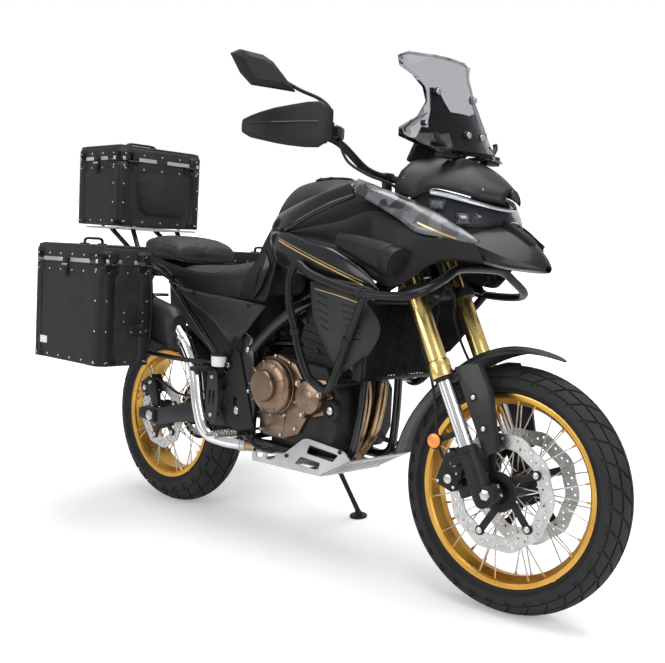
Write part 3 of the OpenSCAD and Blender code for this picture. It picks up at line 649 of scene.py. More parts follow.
# %% Fork clamps and lock stem
def clamp(bm, bolts, z):
    outline = [(LEG_X + 38 * math.cos(math.radians(a)), LEG_Y + 38 * math.sin(math.radians(a)))
               for a in range(120, -121, -15)]
    outline += [(-6, 62), (-4, 0), (-6, -62)]
    outline += [(x, -y) for x, y in outline[16::-1]]
    outline += [(-60, -56), (-78, -30), (-78, 30), (-60, 56)]
    face = bm.faces.new([bm.verts.new((x, y, z + 1)) for x, y in outline])
    pulled = bmesh.ops.extrude_face_region(bm, geom=[face])["geom"]
    bmesh.ops.translate(bm, verts=verts_of(pulled), vec=(0, 0, 26))
    soften(bm, [e for e in bm.edges if abs(e.verts[0].co.z - e.verts[1].co.z) < 1
                and z <= e.verts[0].co.z <= z + 28], 2.5, 2)
    for y in (LEG_Y - 18, LEG_Y + 18):
        disc(bolts, (LEG_X - 40, y, z + 14), 5, 8, "X", 6, 0.8)


def clamps():
    bm, bolts = bmesh.new(), bmesh.new()
    for z in (560, 830):
        clamp(bm, bolts, z)
    both(bolts)
    disc(bolts, (-58, 0, 859), 17, 8, "Z", 6, 1.5)
    bmesh.ops.recalc_face_normals(bm, faces=bm.faces)
    on_steering("triple_clamps", bm, FORK, cast_black, "fork_clamps", True)
    on_steering("clamp_bolts", bolts, FORK, steel, "fork_clamps")


clamps()

# %% [markdown]
# A brake caliper is two cast halves bolted across the disc. From outside one sees the piston
# caps, the bolts, the pad pin and the milled silver edges of the casting. One recipe makes
# the front pair and the single one at the rear.

# %% Brake calipers
def caliper(at, turn, half, disc_gap, wide=1.0):
    """Drawn lying: X towards the axle, Z along the disc; half is the depth of each half."""
    spot = Matrix.Translation(at) @ spun(math.radians(turn))
    cast, bright = bmesh.new(), bmesh.new()
    outline = [(-36, -42), (-28, -54), (20, -54), (36, -42), (30, -12), (36, 0), (30, 12), (36, 42),
               (20, 54), (-28, 54), (-36, 42)]
    outline = [(x * wide, z * wide) for x, z in outline]
    plate(cast, outline, disc_gap, disc_gap + half, 4, 3)
    plate(cast, outline, -disc_gap - half * 0.7, -disc_gap, 3, 2)
    block(cast, (6, 2 * disc_gap + half, 60 * wide), (-35 * wide, 0, 0), None, 2)
    y = disc_gap + half
    for z in (-25 * wide, 25 * wide):
        disc(cast, (0, y, z), 19 * wide, 5, bevel=2)
        disc(bright, (0, y + 2.6, z), 12 * wide, 1.6, bevel=0.6)
    for x, z in ((-26, -44), (-26, 44), (24, -38), (24, 38)):
        disc(bright, (x * wide, y, z * wide), 4.5, 5, "Y", 6, 0.7)
    block(bright, (4, half - 8, 84 * wide), (-35.5 * wide, disc_gap + half / 2, 0), None, 1.5)
    bar(bright, (18 * wide, -disc_gap - half * 0.5, 0), (18 * wide, y + 1, 0), 3)
    for bm in (cast, bright):
        bmesh.ops.transform(bm, matrix=spot, verts=bm.verts)
    return cast, bright


def front_calipers():
    cast, bright = caliper((-98, 73, 92), 45, 27, 5.5)
    for bm in (cast, bright):
        both(bm)
    hose, splitter = bmesh.new(), bmesh.new()
    tube(hose, path([(-118, 84, 110), (-116, 98, 170), (-84, 116, 230), (-62, 112, 330), (-62, 100, 440),
                     (-46, 80, 515), (-12, 50, 540), (8, 24, 560), (10, 8, 580)], 5), 4, 10)
    both(hose)
    tube(hose, path([(10, -8, 590), (20, -24, 660), (26, -50, 760), (30, -74, 830), (16, -112, 886),
                     (-16, -160, 926), (-40, -200, 976), (-26, -230, 1026)], 6), 4, 10)
    block(splitter, (16, 38, 20), (8, 0, 584), None, 3)
    for y in (-13, 13):
        disc(splitter, (17, y, 584), 4, 3, "X", 6, 0.6)
    stem(splitter, (-116, 96, 160), [(0, 5), (1, 6.5), (12, 6.5), (13, 5)], (0.1, 0.15, 1), 12)
    on_steering("front_brake_calipers", cast, FORK, cast_black, "front_calipers", True)
    on_steering("front_caliper_bolts", bright, FORK, steel, "front_calipers")
    on_steering("front_brake_hoses", hose, FORK, rubber, "front_calipers")
    on_steering("brake_hose_splitter", splitter, FORK, cast_black, "front_calipers")


front_calipers()

# %% [markdown]
# The front mudguard is one thin moulding with a raised spine that runs out into a point. Its
# sections are drawn across the tyre at a few angles about the axle. Two painted plates
# stand beside the sliders and carry it.

# %% Front mudguard and its plates
def mudguard():
    stations = [(71, 371, 370, 4), (74, 373, 370, 22), (80, 375, 368, 40), (88, 376, 362, 54),
                (98, 375, 352, 63), (110, 368, 341, 69), (124, 358, 332, 71), (140, 350, 332, 70),
                (156, 350, 338, 66), (174, 356, 350, 58)]
    spread = [0, 0.1, 0.22, 0.3, 0.55, 0.8, 0.94, 1]
    fall = [0, 0.02, 0.06, 0.2, 0.34, 0.58, 0.84, 1]
    lines = []
    for s in path([Vector((a, mid, edge)) for a, mid, edge, w in stations], 3):
        w = stations[0][3]
        for (a0, _, _, w0), (a1, _, _, w1) in zip(stations, stations[1:]):
            if a0 <= s.x <= a1:
                w = w0 + (w1 - w0) * (s.x - a0) / (a1 - a0)
        a = math.radians(s.x)
        line = [(s.y - (s.y - s.z) * g, w * f) for f, g in zip(spread, fall)]
        line = [(r, -y) for r, y in line[:0:-1]] + line
        lines.append([(r * math.cos(a), y, r * math.sin(a)) for r, y in line])
    bm = rows(bmesh.new(), lines, closed=False)
    on_steering("mudguard_arch", bm, FRONT_WHEEL, grey_satin, "front_mudguard", True, wall=3, smooth=24)
    side, edge, bolts = bmesh.new(), bmesh.new(), bmesh.new()
    outline = [(12, 94), (50, 93), (60, 120), (90, 248), (87, 324), (60, 336), (12, 343)]
    plate(side, outline, 93, 104, 3, 3)
    plate(edge, [(52, 96), (58, 96), (97, 248), (93, 322), (87, 322), (89, 250)], 92, 105.5, 1.5, 2)
    for x, z in ((39, 248), (37, 162)):
        disc(edge, (x, 104.5, z), 11, 3, bevel=1)
        disc(bolts, (x, 106, z), 7, 4, "Y", 6, 1)
    for bm in (side, edge, bolts):
        both(bm)
    on_steering("mudguard_side_plates", side, FORK, grey_satin, "front_mudguard")
    on_steering("mudguard_plate_edges", edge, FORK, plastic, "front_mudguard")
    on_steering("mudguard_bolts", bolts, FORK, steel, "front_mudguard")


mudguard()

# %% [markdown]
# The bodywork is thin moulded panels over the tank. Each panel is drawn as a coarse grid of
# points on the left half, smoothed along its length, turned to face outwards and
# copied to the right half. A wall a few millimetres thick then gives it real edges.

# %% Panel helpers
def face_out(bm, middle=(900, 0, 950)):
    """Turns the faces of an open sheet away from the middle of the machine."""
    bmesh.ops.recalc_face_normals(bm, faces=bm.faces)
    out = sum(f.normal.dot(f.calc_center_median() - Vector(middle)) * f.calc_area() for f in bm.faces)
    if out < 0:
        bmesh.ops.reverse_faces(bm, faces=bm.faces)
    return bm


def sheet(bm, lines, across=2, along=3):
    """A smooth open panel through a coarse grid of points."""
    grid = [path(line, across) for line in lines]
    columns = [path(column, along) for column in zip(*grid)]
    return face_out(rows(bm, list(zip(*columns)), closed=False))


def panel(name, node, lines, material, across=2, along=3, wall=3, stands=(), smooth=32):
    bm = sheet(bmesh.new(), lines, across, along)
    both(bm)
    bmesh.ops.remove_doubles(bm, verts=bm.verts, dist=0.2)
    return finish_piece(name, bm, "chassis", UPRIGHT, material, node, stands, smooth, wall=wall)


def ribbon(bm, surface, route, width, lift=1.0):
    """A narrow painted line laid on a surface, seen from the left side."""
    tree = BVHTree.FromBMesh(surface)
    pts = [Vector((x, 0, z)) for x, z in route]
    lines = []
    for p in path(pts, 6):
        line = []
        for dz in (-width / 2, width / 2):
            spot = tree.ray_cast(Vector((p.x, 600, p.z + dz)), Vector((0, -1, 0)))[0]
            if spot is not None:
                line.append((spot.x, spot.y + lift, spot.z))
        if len(line) == 2:
            lines.append(line)
    return rows(bm, lines, closed=False)


# %% [markdown]
# The grey upper panels carry a printed pattern of crooked tiles in several greys, which is a
# cell texture with straight borders. Satin black is used for the cowl and the tank, and the
# glass of lamps and screen is clear or smoked.

# %% Paint for the bodywork
def tile_paint(name, dark, light):
    m = finish(name, dark, light, (0.24, 0.32), 0.3, 5, 2500, 0.04, coat=0.4)
    nt, link = m.node_tree.nodes, m.node_tree.links.new
    place, cells = nt["Texture Coordinate"], nt.new("ShaderNodeTexVoronoi")
    cells.distance, cells.inputs["Scale"].default_value = "CHEBYCHEV", 26
    cells.inputs["Randomness"].default_value = 0.85
    link(place.outputs["Object"], cells.inputs["Vector"])
    level = nt.new("ShaderNodeSeparateColor")
    link(cells.outputs["Color"], level.inputs["Color"])
    tint = nt.new("ShaderNodeValToRGB")
    tint.color_ramp.interpolation = "CONSTANT"
    for spot, tone in ((0.0, dark), (0.3, [0.5 * (a + b) for a, b in zip(dark, light)]), (0.62, light)):
        stop = tint.color_ramp.elements[0] if spot == 0 else tint.color_ramp.elements.new(spot)
        stop.position, stop.color = spot, (*tone, 1)
    link(level.outputs["Red"], tint.inputs["Fac"])
    link(tint.outputs["Color"], nt["Principled BSDF"].inputs["Base Color"])
    return m


def glass(name, tint, rough=0.02, thin=1.45):
    m = finish(name, tint, tint, (rough, rough + 0.02), 0, 3, 2000, 0)
    shader = m.node_tree.nodes["Principled BSDF"]
    shader.inputs["Transmission Weight"].default_value = 1
    shader.inputs["IOR"].default_value = thin
    return m


matt = finish("satin_black_moulding", (0.01, 0.01, 0.011), (0.015, 0.015, 0.016), (0.36, 0.46), 0.1, 5, 1800,
              0.15)
tiles = tile_paint("tiled_grey_paint", (0.035, 0.036, 0.04), (0.15, 0.155, 0.165))
gold_line = finish("gold_stripe", (0.62, 0.42, 0.14), (0.7, 0.48, 0.17), (0.25, 0.32), 0.6, 8, 2000, 0.02,
                   coat=1)
smoked = glass("smoked_screen", (0.42, 0.43, 0.46), 0.02, 1.2)
clear = glass("clear_lens", (0.9, 0.92, 0.95), 0.06, 1.12)
beak_paint = finish("beak_paint", (0.006, 0.006, 0.007), (0.011, 0.011, 0.012), (0.3, 0.4), 0.1, 4, 2500,
                    0.03, coat=0.12)
optic = finish("lamp_optics", (0.06, 0.062, 0.068), (0.16, 0.165, 0.175), (0.1, 0.2), 0.6, 60, 900, 0.2,
               coat=1)
tray_black = finish("lamp_tray", (0.006, 0.006, 0.007), (0.01, 0.01, 0.011), (0.55, 0.6), 0, 6, 900, 0.01)
lamp_white = finish("lamp_white", (0.62, 0.63, 0.64), (0.78, 0.79, 0.8), (0.15, 0.22), 0.3, 20, 900, 0.1)
satin_panel = finish("satin_dark_panel", (0.026, 0.027, 0.029), (0.038, 0.039, 0.042), (0.42, 0.5), 0.15, 6,
                     2200, 0.12)
print("paints:", len(bpy.data.materials))

# %% [markdown]
# The tank cover is widest at the shoulders, narrows for the knees and slopes down to the
# seat. It is drawn as one half and closed along the middle. A recessed filler cap with a
# ring of small bolts sits on top, just ahead of the rider.

# %% Fuel tank
TANK = [
    [(546, 0, 960), (547, 38, 958), (548, 62, 940), (549, 66, 915), (550, 58, 885)],
    [(565, 0, 1040), (566, 56, 1030), (570, 96, 985), (574, 104, 930), (576, 96, 880)],
    [(592, 0, 1118), (596, 62, 1098), (604, 116, 1030), (612, 126, 950), (618, 118, 868)],
    [(640, 0, 1140), (644, 66, 1128), (652, 132, 1062), (660, 150, 960), (668, 142, 862)],
    [(710, 0, 1150), (712, 72, 1140), (716, 142, 1078), (722, 168, 970), (730, 160, 858)],
    [(790, 0, 1152), (790, 76, 1144), (792, 146, 1086), (794, 178, 985), (800, 170, 858)],
    [(860, 0, 1146), (860, 76, 1130), (860, 136, 1078), (862, 172, 990), (866, 166, 860)],
    [(925, 0, 1116), (925, 66, 1104), (925, 116, 1060), (925, 156, 980), (925, 150, 866)],
]
panel("tank_cover", "fuel_tank", TANK, matt, across=3, along=3, wall=3, stands=["fuel_tank"], smooth=40)


def filler():
    cap, bolts = bmesh.new(), bmesh.new()
    at, up = (735, 0, 1149), (-0.08, 0, 1)
    stem(cap, at, [(0, 60), (4, 60), (6, 57), (6.5, 46), (3, 44), (3.5, 40), (8, 38), (9, 34), (9.5, 10)],
         up, 64)
    for k in range(7):
        a = 2 * math.pi * k / 7
        disc(bolts, (735 + 52 * math.cos(a), 52 * math.sin(a), 1155.5), 4, 4, "Z", 6, 0.6)
    block(cap, (14, 44, 6), (735, 0, 1159), None, 2)
    on_frame("filler_cap", cap, bar_black, "fuel_tank")
    on_frame("filler_bolts", bolts, steel, "fuel_tank")


filler()

# %% [markdown]
# Beside the tank lies an arrow-shaped fairing. Its glossy upper and lower arms meet at the
# rear, and between them a matt hollow runs forward to the lamp pods. The arms are two panels,
# the hollow a third behind them, and a fine double gold line follows the lower arm.

# %% Side fairings
UPPER_ARM = [
    [(617, 122, 1030), (624, 142, 1022), (630, 158, 1006), (636, 166, 984)],
    [(650, 134, 1046), (668, 164, 1038), (684, 186, 1018), (698, 199, 986)],
    [(746, 145, 1078), (748, 180, 1062), (750, 202, 1030), (752, 213, 988)],
    [(840, 178, 1094), (840, 186, 1088), (838, 196, 1066), (838, 204, 1028)],
    [(893, 172, 1110), (900, 178, 1109), (908, 188, 1094), (918, 196, 1060)],
    [(950, 160, 1130), (966, 164, 1128), (984, 173, 1114), (1000, 182, 1092)],
]
LOWER_ARM = [
    [(636, 166, 984), (640, 172, 960), (645, 174, 940), (652, 171, 924)],
    [(698, 199, 986), (696, 206, 952), (700, 209, 922), (706, 205, 894)],
    [(752, 213, 984), (762, 222, 945), (776, 226, 905), (794, 222, 868)],
    [(850, 226, 961), (858, 236, 925), (872, 239, 885), (890, 230, 850)],
    [(972, 238, 938), (976, 247, 905), (980, 247, 872), (985, 235, 842)],
    [(1103, 246, 882), (1100, 249, 866), (1092, 247, 850), (1082, 237, 836)],
    [(1150, 240, 838), (1149, 241, 834), (1147, 240, 830), (1144, 236, 825)],
]
HOLLOW = [
    [(742, 208, 984), (744, 206, 983), (746, 206, 982), (748, 209, 981)],
    [(838, 200, 1026), (846, 182, 1004), (850, 190, 978), (850, 222, 960)],
    [(917, 192, 1058), (930, 162, 1022), (940, 176, 972), (972, 232, 936)],
    [(1000, 178, 1088), (1020, 148, 1050), (1040, 168, 985), (1060, 230, 902)],
    [(1088, 194, 1062), (1090, 158, 1040), (1100, 178, 980), (1103, 238, 880)],
    [(1170, 204, 1026), (1170, 172, 1010), (1170, 186, 960), (1160, 230, 850)],
]
panel("fairing_upper_arm", None, UPPER_ARM, gloss, 2, 4, 4, ["side_fairings"])
panel("fairing_lower_arm", "side_fairings", LOWER_ARM, gloss, 2, 4, 4)
panel("fairing_hollow", "side_fairings", HOLLOW, matt, 2, 4, 3, smooth=28)


def gold_lines():
    surface = sheet(bmesh.new(), LOWER_ARM, 2, 4)
    bm, thin = bmesh.new(), bmesh.new()
    ribbon(bm, surface, [(724, 958), (820, 929), (922, 900), (1030, 868), (1098, 846)], 4.5, 1.2)
    ribbon(thin, surface, [(722, 965), (820, 937), (922, 908), (1030, 876), (1104, 854)], 1.8, 1.2)
    both(face_out(bm))
    both(face_out(thin))
    on_frame("fairing_gold_line", bm, gold_line, "side_fairings")
    on_frame("fairing_fine_line", thin, gold_line, "side_fairings")
    surface.free()


gold_lines()

# %% [markdown]
# From the fairing's shoulder a patterned panel sweeps down to the beak, and a black cheek
# below it closes the space behind the crash bar. The tall shrouds under the lower arm
# guide air through the radiator; each has a raised rim and a sunk field.

# %% Patterned panels, cheeks and shrouds
PATTERNED = [
    [(950, 124, 1143), (964, 148, 1136), (982, 168, 1120), (999, 182, 1092)],
    [(1028, 148, 1124), (1036, 170, 1116), (1042, 186, 1100), (1044, 193, 1078)],
    [(1105, 165, 1103), (1106, 184, 1096), (1104, 196, 1082), (1096, 203, 1060)],
    [(1200, 177, 1076), (1200, 196, 1066), (1196, 208, 1048), (1186, 214, 1022)],
    [(1261, 179, 1052), (1260, 198, 1040), (1254, 210, 1020), (1242, 216, 992)],
    [(1330, 170, 1019), (1330, 184, 1010), (1324, 194, 998), (1314, 198, 980)],
    [(1401, 150, 976), (1400, 156, 973), (1396, 160, 970), (1390, 163, 966)],
]
CHEEK = [
    [(1060, 196, 1040), (1075, 205, 985), (1080, 210, 930), (1080, 214, 870)],
    [(1150, 206, 1030), (1160, 218, 975), (1165, 228, 915), (1180, 236, 848)],
    [(1209, 212, 1010), (1218, 216, 975), (1226, 214, 925), (1236, 212, 872)],
    [(1258, 213, 982), (1264, 208, 960), (1270, 202, 935), (1276, 194, 906)],
    [(1330, 194, 976), (1334, 188, 960), (1334, 180, 942), (1332, 168, 922)],
    [(1392, 162, 966), (1398, 152, 952), (1402, 142, 936), (1402, 128, 918)],
]
SHROUD = [
    [(876, 226, 846), (890, 226, 760), (903, 214, 706), (955, 196, 612)],
    [(930, 236, 842), (932, 234, 770), (938, 222, 700), (972, 196, 604)],
    [(1010, 238, 832), (1012, 236, 765), (1010, 222, 690), (1000, 192, 600)],
    [(1081, 232, 812), (1100, 222, 765), (1104, 206, 712), (1060, 190, 645)],
    [(1092, 228, 806), (1126, 206, 752), (1120, 194, 705), (1072, 186, 648)],
]
panel("patterned_panels", "side_fairings", PATTERNED, tiles, 2, 4, 3)
panel("nose_cheeks", "side_fairings", CHEEK, plastic, 2, 4, 3)
panel("radiator_side_shrouds", None, SHROUD, satin_panel, 3, 3, 4, ["radiator_shrouds"], smooth=12)


def shroud_detail():
    surface = sheet(bmesh.new(), SHROUD, 3, 3)
    bm, accent = bmesh.new(), bmesh.new()
    ribbon(bm, surface, [(906, 836), (1000, 824), (1078, 806)], 9, 2)
    ribbon(accent, surface, [(905, 825), (1000, 812), (1070, 797)], 2.2, 1.2)
    for k in range(5):
        ribbon(bm, surface, [(912 + 4 * k, 812 - 22 * k), (960, 800 - 22 * k)], 3, 1.5)
    for k in range(6):
        ribbon(bm, surface, [(1012 + 4 * k, 790 - 20 * k), (1084 - 3 * k, 776 - 16 * k)], 2.5, 1.5)
    both(face_out(bm))
    both(face_out(accent))
    on_frame("shroud_ribs", bm, plastic, "radiator_shrouds", wall=1)
    on_frame("shroud_gold_line", accent, gold_line, "radiator_shrouds")
    surface.free()
    pattern = sheet(bmesh.new(), PATTERNED, 2, 4)
    line = bmesh.new()
    ribbon(line, pattern, [(1246, 1016), (1300, 996), (1352, 978)], 5, 1.4)
    both(face_out(line))
    on_frame("panel_gold_line", line, gold_line, "side_fairings")
    pattern.free()


shroud_detail()

# %% [markdown]
# Each lamp pod is a chamfered block that grows out of the hollow. The round fog lamp in its
# end is a turned housing with a bright bowl, three small emitters and a clear front glass.

# %% Lamp pods and fog lamps
def pods():
    bm, bowls, glassy, dots = (bmesh.new() for _ in range(4))
    stations = [(972, 196, 231, 940, 986), (1060, 196, 243, 908, 978), (1150, 196, 254, 872, 964),
                (1186, 198, 256, 862, 956)]
    lines = []
    for x, y0, y1, z0, z1 in stations:
        c = (z1 - z0) * 0.26
        lines.append([(x, y0, z0), (x, y1 - c, z0), (x, y1, z0 + c), (x, y1, z1 - c), (x, y1 - c, z1),
                      (x, y0, z1)])
    rows(bm, lines)
    soften(bm, bm.edges[:], 2.5, 2)
    at, out = Vector((1120, 232, 938)), Vector((102, 8, -33)).normalized()
    stem(bm, at, [(48, 30), (58, 37), (92, 40), (98, 40), (100, 37), (92, 34), (70, 26)], out, 48)
    stem(bowls, at, [(73, 5), (75, 21), (83, 30), (92, 34), (93, 33), (84, 28.5), (76.5, 19), (75, 5)], out,
         48)
    stem(glassy, at, [(93, 34), (97, 33), (102, 26), (105, 14), (106, 4)], out, 48)
    for dy, dz in ((0, 13), (-11, -7), (11, -7)):
        spot = at + 84 * out + Vector((0, dy, dz))
        stem(dots, spot, [(0, 8), (5, 8), (8, 5)], out, 20)
    for b in (bm, bowls, glassy, dots):
        bmesh.ops.recalc_face_normals(b, faces=b.faces)
        both(b)
    on_frame("lamp_pods", bm, plastic, "fog_lamps", True)
    on_frame("fog_lamp_bowls", bowls, steel, "fog_lamps")
    on_frame("fog_lamp_emitters", dots, lamp_white, "fog_lamps")
    on_frame("fog_lamp_glasses", glassy, clear, "fog_lamps")


pods()

# %% [markdown]
# The beak is a pointed, faceted shell under the headlight. It is drawn as six half sections
# with hard edges, so the facets catch the light differently, and a ribbed fin stands on its
# middle. The cowl above is matt and slopes from the screen to a small round nose badge.

# %% Beak, fin and cowl
BEAK = [
    [(1296, 0, 1040), (1296, 60, 1038), (1296, 120, 1018), (1296, 164, 984), (1296, 170, 962),
     (1296, 158, 944), (1296, 90, 934), (1296, 0, 931)],
    [(1350, 0, 1030), (1350, 50, 1027), (1350, 104, 1006), (1350, 150, 976), (1350, 157, 955),
     (1350, 146, 937), (1350, 80, 922), (1350, 0, 918)],
    [(1400, 0, 1013), (1400, 40, 1008), (1400, 84, 988), (1400, 126, 956), (1400, 132, 939),
     (1400, 122, 924), (1400, 60, 910), (1400, 0, 907)],
    [(1450, 0, 984), (1450, 30, 979), (1450, 60, 961), (1450, 90, 934), (1450, 94, 921), (1450, 86, 911),
     (1450, 40, 903), (1450, 0, 901)],
    [(1490, 0, 950), (1490, 18, 946), (1490, 34, 936), (1490, 48, 921), (1490, 50, 914), (1490, 44, 908),
     (1490, 20, 902), (1490, 0, 900)],
    [(1512, 0, 921), (1512, 6, 920), (1512, 11, 917), (1512, 14, 912), (1512, 14, 909), (1512, 12, 906),
     (1512, 6, 903), (1512, 0, 902)],
]
COWL = [
    [(1136, 0, 1204), (1136, 60, 1202), (1136, 118, 1186), (1134, 156, 1158), (1130, 176, 1124),
     (1126, 170, 1098)],
    [(1190, 0, 1207), (1190, 60, 1204), (1190, 116, 1182), (1192, 152, 1150), (1196, 180, 1108),
     (1200, 184, 1082)],
    [(1240, 0, 1200), (1240, 55, 1196), (1240, 106, 1174), (1242, 138, 1146), (1244, 160, 1120),
     (1246, 164, 1108)],
    [(1300, 0, 1172), (1300, 48, 1168), (1300, 90, 1150), (1300, 114, 1130), (1300, 130, 1110),
     (1300, 132, 1100)],
    [(1350, 0, 1142), (1350, 34, 1138), (1350, 62, 1124), (1350, 78, 1110), (1350, 88, 1094),
     (1350, 88, 1084)],
    [(1392, 0, 1114), (1392, 14, 1111), (1392, 26, 1103), (1392, 32, 1095), (1392, 36, 1084),
     (1392, 34, 1074)],
]
panel("beak_shell", None, BEAK, beak_paint, 1, 3, 3, ["beak"], smooth=14)
panel("nose_cowl_shell", None, COWL, matt, 1, 3, 3, ["nose_cowl"], smooth=22)


def nose_details():
    fin, badge, ribs = bmesh.new(), bmesh.new(), bmesh.new()
    plate(fin, [(1330, 1040), (1352, 1046), (1400, 1022), (1440, 1000), (1466, 980), (1462, 972),
                (1420, 990), (1330, 1012)], -14, 14, 3, 2)
    for k in range(7):
        block(ribs, (3, 34, 3), (1366 + 14 * k, 0, 1040 - 8.2 * k), spun(0.5), 1)
    stem(badge, (1392, 0, 1098), [(0, 16), (2, 17), (6, 17), (8, 15), (8.5, 4)], (0.93, 0, 0.36), 40)
    on_frame("beak_fin", fin, plastic, "beak")
    on_frame("beak_fin_ribs", ribs, plastic, "beak")
    on_frame("nose_badge_blank", badge, grey_satin, "nose_cowl")
    screws = bmesh.new()
    for x, y, z in ((1345, 76, 1108), (1225, 164, 1112), (1150, 164, 1132)):
        disc(screws, (x, y, z), 6, 6, "Y", 20, 1)
    both(screws)
    on_frame("cowl_screws", screws, steel, "nose_cowl")


nose_details()

# %% [markdown]
# The headlight wraps round the nose between cowl and beak. Behind a clear cover lies a dark
# tray with three lens boxes on each side and a long pale light guide along its top edge. Tray
# and cover are the same panel, the tray a little smaller and further back.

# %% Headlight
LENS = [
    [(1214, 188, 1078), (1215, 189, 1076), (1216, 190, 1074), (1218, 190, 1071)],
    [(1246, 166, 1106), (1252, 172, 1088), (1260, 178, 1068), (1270, 182, 1046)],
    [(1294, 136, 1098), (1304, 140, 1074), (1314, 146, 1048), (1326, 152, 1016)],
    [(1340, 90, 1083), (1350, 93, 1062), (1358, 96, 1040), (1364, 98, 1012)],
    [(1370, 42, 1071), (1378, 43, 1056), (1382, 44, 1040), (1384, 45, 1022)],
    [(1382, 0, 1066), (1388, 0, 1054), (1391, 0, 1042), (1391, 0, 1028)],
]


def pulled_back(lines, by):
    """The same panel a little smaller, for what lies behind it."""
    return [[(x - by, y * (1 - by / 160), z) for x, y, z in line] for line in lines]


def headlight():
    tray = pulled_back(LENS, 16)
    panel("headlight_tray", None, tray, tray_black, 2, 3, 3, ["headlight"])
    panel("headlight_cover", "headlight", LENS, clear, 2, 3, 2)
    guide = [[(x - 4, y * 0.985, z - 3) for x, y, z in (line[0], line[1])] for line in LENS[1:]]
    guide = [[a, tuple(Vector(a).lerp(Vector(b), 0.5))] for a, b in guide]
    panel("headlight_light_guide", "headlight", guide, lamp_white, 1, 4, 2)
    boxes, lenses = bmesh.new(), bmesh.new()
    for x, y, z, yaw in ((1332, 64, 1034, 0.35), (1309, 110, 1032, 0.6), (1258, 148, 1066, 1.0)):
        turn = spun(yaw, "Z")
        block(boxes, (34, 44, 34), (x, y, z), turn, 4)
        block(lenses, (4, 30, 20), Vector((x, y, z)) + turn @ Vector((17, 0, 0)), turn, 3)
    both(boxes)
    both(lenses)
    on_frame("headlight_boxes", boxes, gloss, "headlight")
    on_frame("headlight_lenses", lenses, optic, "headlight")


headlight()

# %% [markdown]
# The screen is smoked plastic, pinched below its top wings. Its surface leans back and bows
# round, with a crease down each side, and its outline is only a width at each height. Through
# it one sees the black shield with its arms and bolts, and behind that the instruments.

# %% Screen, bracket and instruments
SCREEN = [(1204, 146, 30), (1222, 176, 66), (1246, 200, 108), (1268, 192, 106), (1300, 152, 66),
          (1345, 120, 44), (1385, 116, 44), (1418, 136, 54), (1440, 158, 70), (1466, 160, 64),
          (1478, 138, 40)]


def leaning(z, behind=0):
    """The middle line of the screen, which leans back as it rises."""
    return 1272 - behind - (z - 1225) * 0.433


def screen_x(y, z):
    """How far forward the screen lies at a height; each level holds height, half width and sweep."""
    for (low, half0, sweep0), (high, half1, sweep1) in zip(SCREEN, SCREEN[1:]):
        if low <= z <= high:
            t = (z - low) / (high - low)
            half, sweep = half0 + (half1 - half0) * t, sweep0 + (sweep1 - sweep0) * t
            bend = math.pi / 2 * min(1, abs(y) / half)
            return leaning(z) - sweep * (1 - math.cos(bend))


def screen():
    crease = 6
    lines = []
    for z, half, _ in SCREEN:
        lines.append([(screen_x(half * k / 6, z) + (crease if abs(k) == 3 else 0), half * k / 6, z)
                      for k in range(-6, 7)])
    bm = rows(bmesh.new(), lines, closed=False)
    face_out(bm, (900, 0, 1350))
    on_frame("smoked_screen", bm, smoked, "windscreen", True, wall=4)


def bracket():
    bm, shell, bolts, shown = (bmesh.new() for _ in range(4))
    arms = ((1256, 40, 128), (1290, 46, 120), (1320, 56, 108), (1350, 66, 100), (1384, 72, 92))
    rows(shell, [[(screen_x(y, z) - 11, y, z) for y in (y0, (y0 + y1) / 2, y1)] for z, y0, y1 in arms],
         closed=False)
    both(shell)
    shield = []
    for z, half, sweep in ((1204, 128, 34), (1226, 146, 58), (1250, 150, 70), (1270, 118, 44),
                           (1296, 84, 24),
                           (1322, 62, 14)):
        shield.append([(leaning(z, 16) - sweep * (1 - math.cos(math.pi / 2 * k / 4)), half * k / 4,
                        z) for k in range(-4, 5)])
    rows(shell, shield, closed=False)
    bmesh.ops.solidify(shell, geom=shell.faces[:], thickness=3)
    tube(bm, path([(1200, 0, 1196), (1222, 40, 1240), (1205, 62, 1300), (1196, 62, 1330)], 5), 7, 10)
    tube(bm, path([(1225, 20, 1200), (1240, 90, 1214), (1232, 130, 1240), (1228, 134, 1256)], 5), 7, 10)
    block(bm, (30, 60, 26), (1238, 100, 1206), None, 4)
    for y, z, r in ((82, 1374, 8.5), (30, 1260, 8.5), (134, 1284, 5)):
        disc(bolts, (screen_x(y, z) + 4, y, z), r, 5, "X", 24, 1)
        disc(bm, (screen_x(y, z) - 6, y, z), r + 3, 12, "X", 24, 1)
    both(bm)
    both(bolts)
    turn = spun(math.radians(-62))
    block(bm, (104, 184, 16), (1122, 0, 1236), turn, 6, 3)
    tube(bm, [Vector((1132, 0, 1222)), Vector((1160, 0, 1196))], 12)
    block(shown, (86, 150, 3), Vector((1122, 0, 1236)) + turn @ Vector((0, 0, 9)), turn, 1)
    on_frame("screen_bracket", bm, plastic, "dashboard", True)
    on_frame("screen_shield", shell, plastic, "dashboard")
    on_frame("screen_bolts", bolts, steel, "windscreen")
    on_frame("instrument_display", shown, gloss, "dashboard")


screen()
bracket()

# %% [markdown]
# The seats are foam under a stretched cover. Each starts as a closed form a little smaller
# than its place, is evened out into small faces and then swelled by a short cloth run, held
# along its base. How far a point may move is capped, so the pads keep their crisp shape.

# %% Seat cushions
leather = finish("seat_cover_grain", (0.026, 0.026, 0.028), (0.038, 0.038, 0.041), (0.5, 0.62), 0, 14, 520,
                 0.55,
                 depth=0.0007, pattern="F1")
thread = finish("seat_thread", (0.05, 0.05, 0.052), (0.08, 0.08, 0.083), (0.6, 0.7), 0, 40, 2500, 0.3)


def kept_mesh(obj):
    """Replaces an object's mesh by what its modifiers make of it."""
    made = bpy.data.meshes.new_from_object(obj.evaluated_get(bpy.context.evaluated_depsgraph_get()))
    obj.modifiers.clear()
    obj.data = made


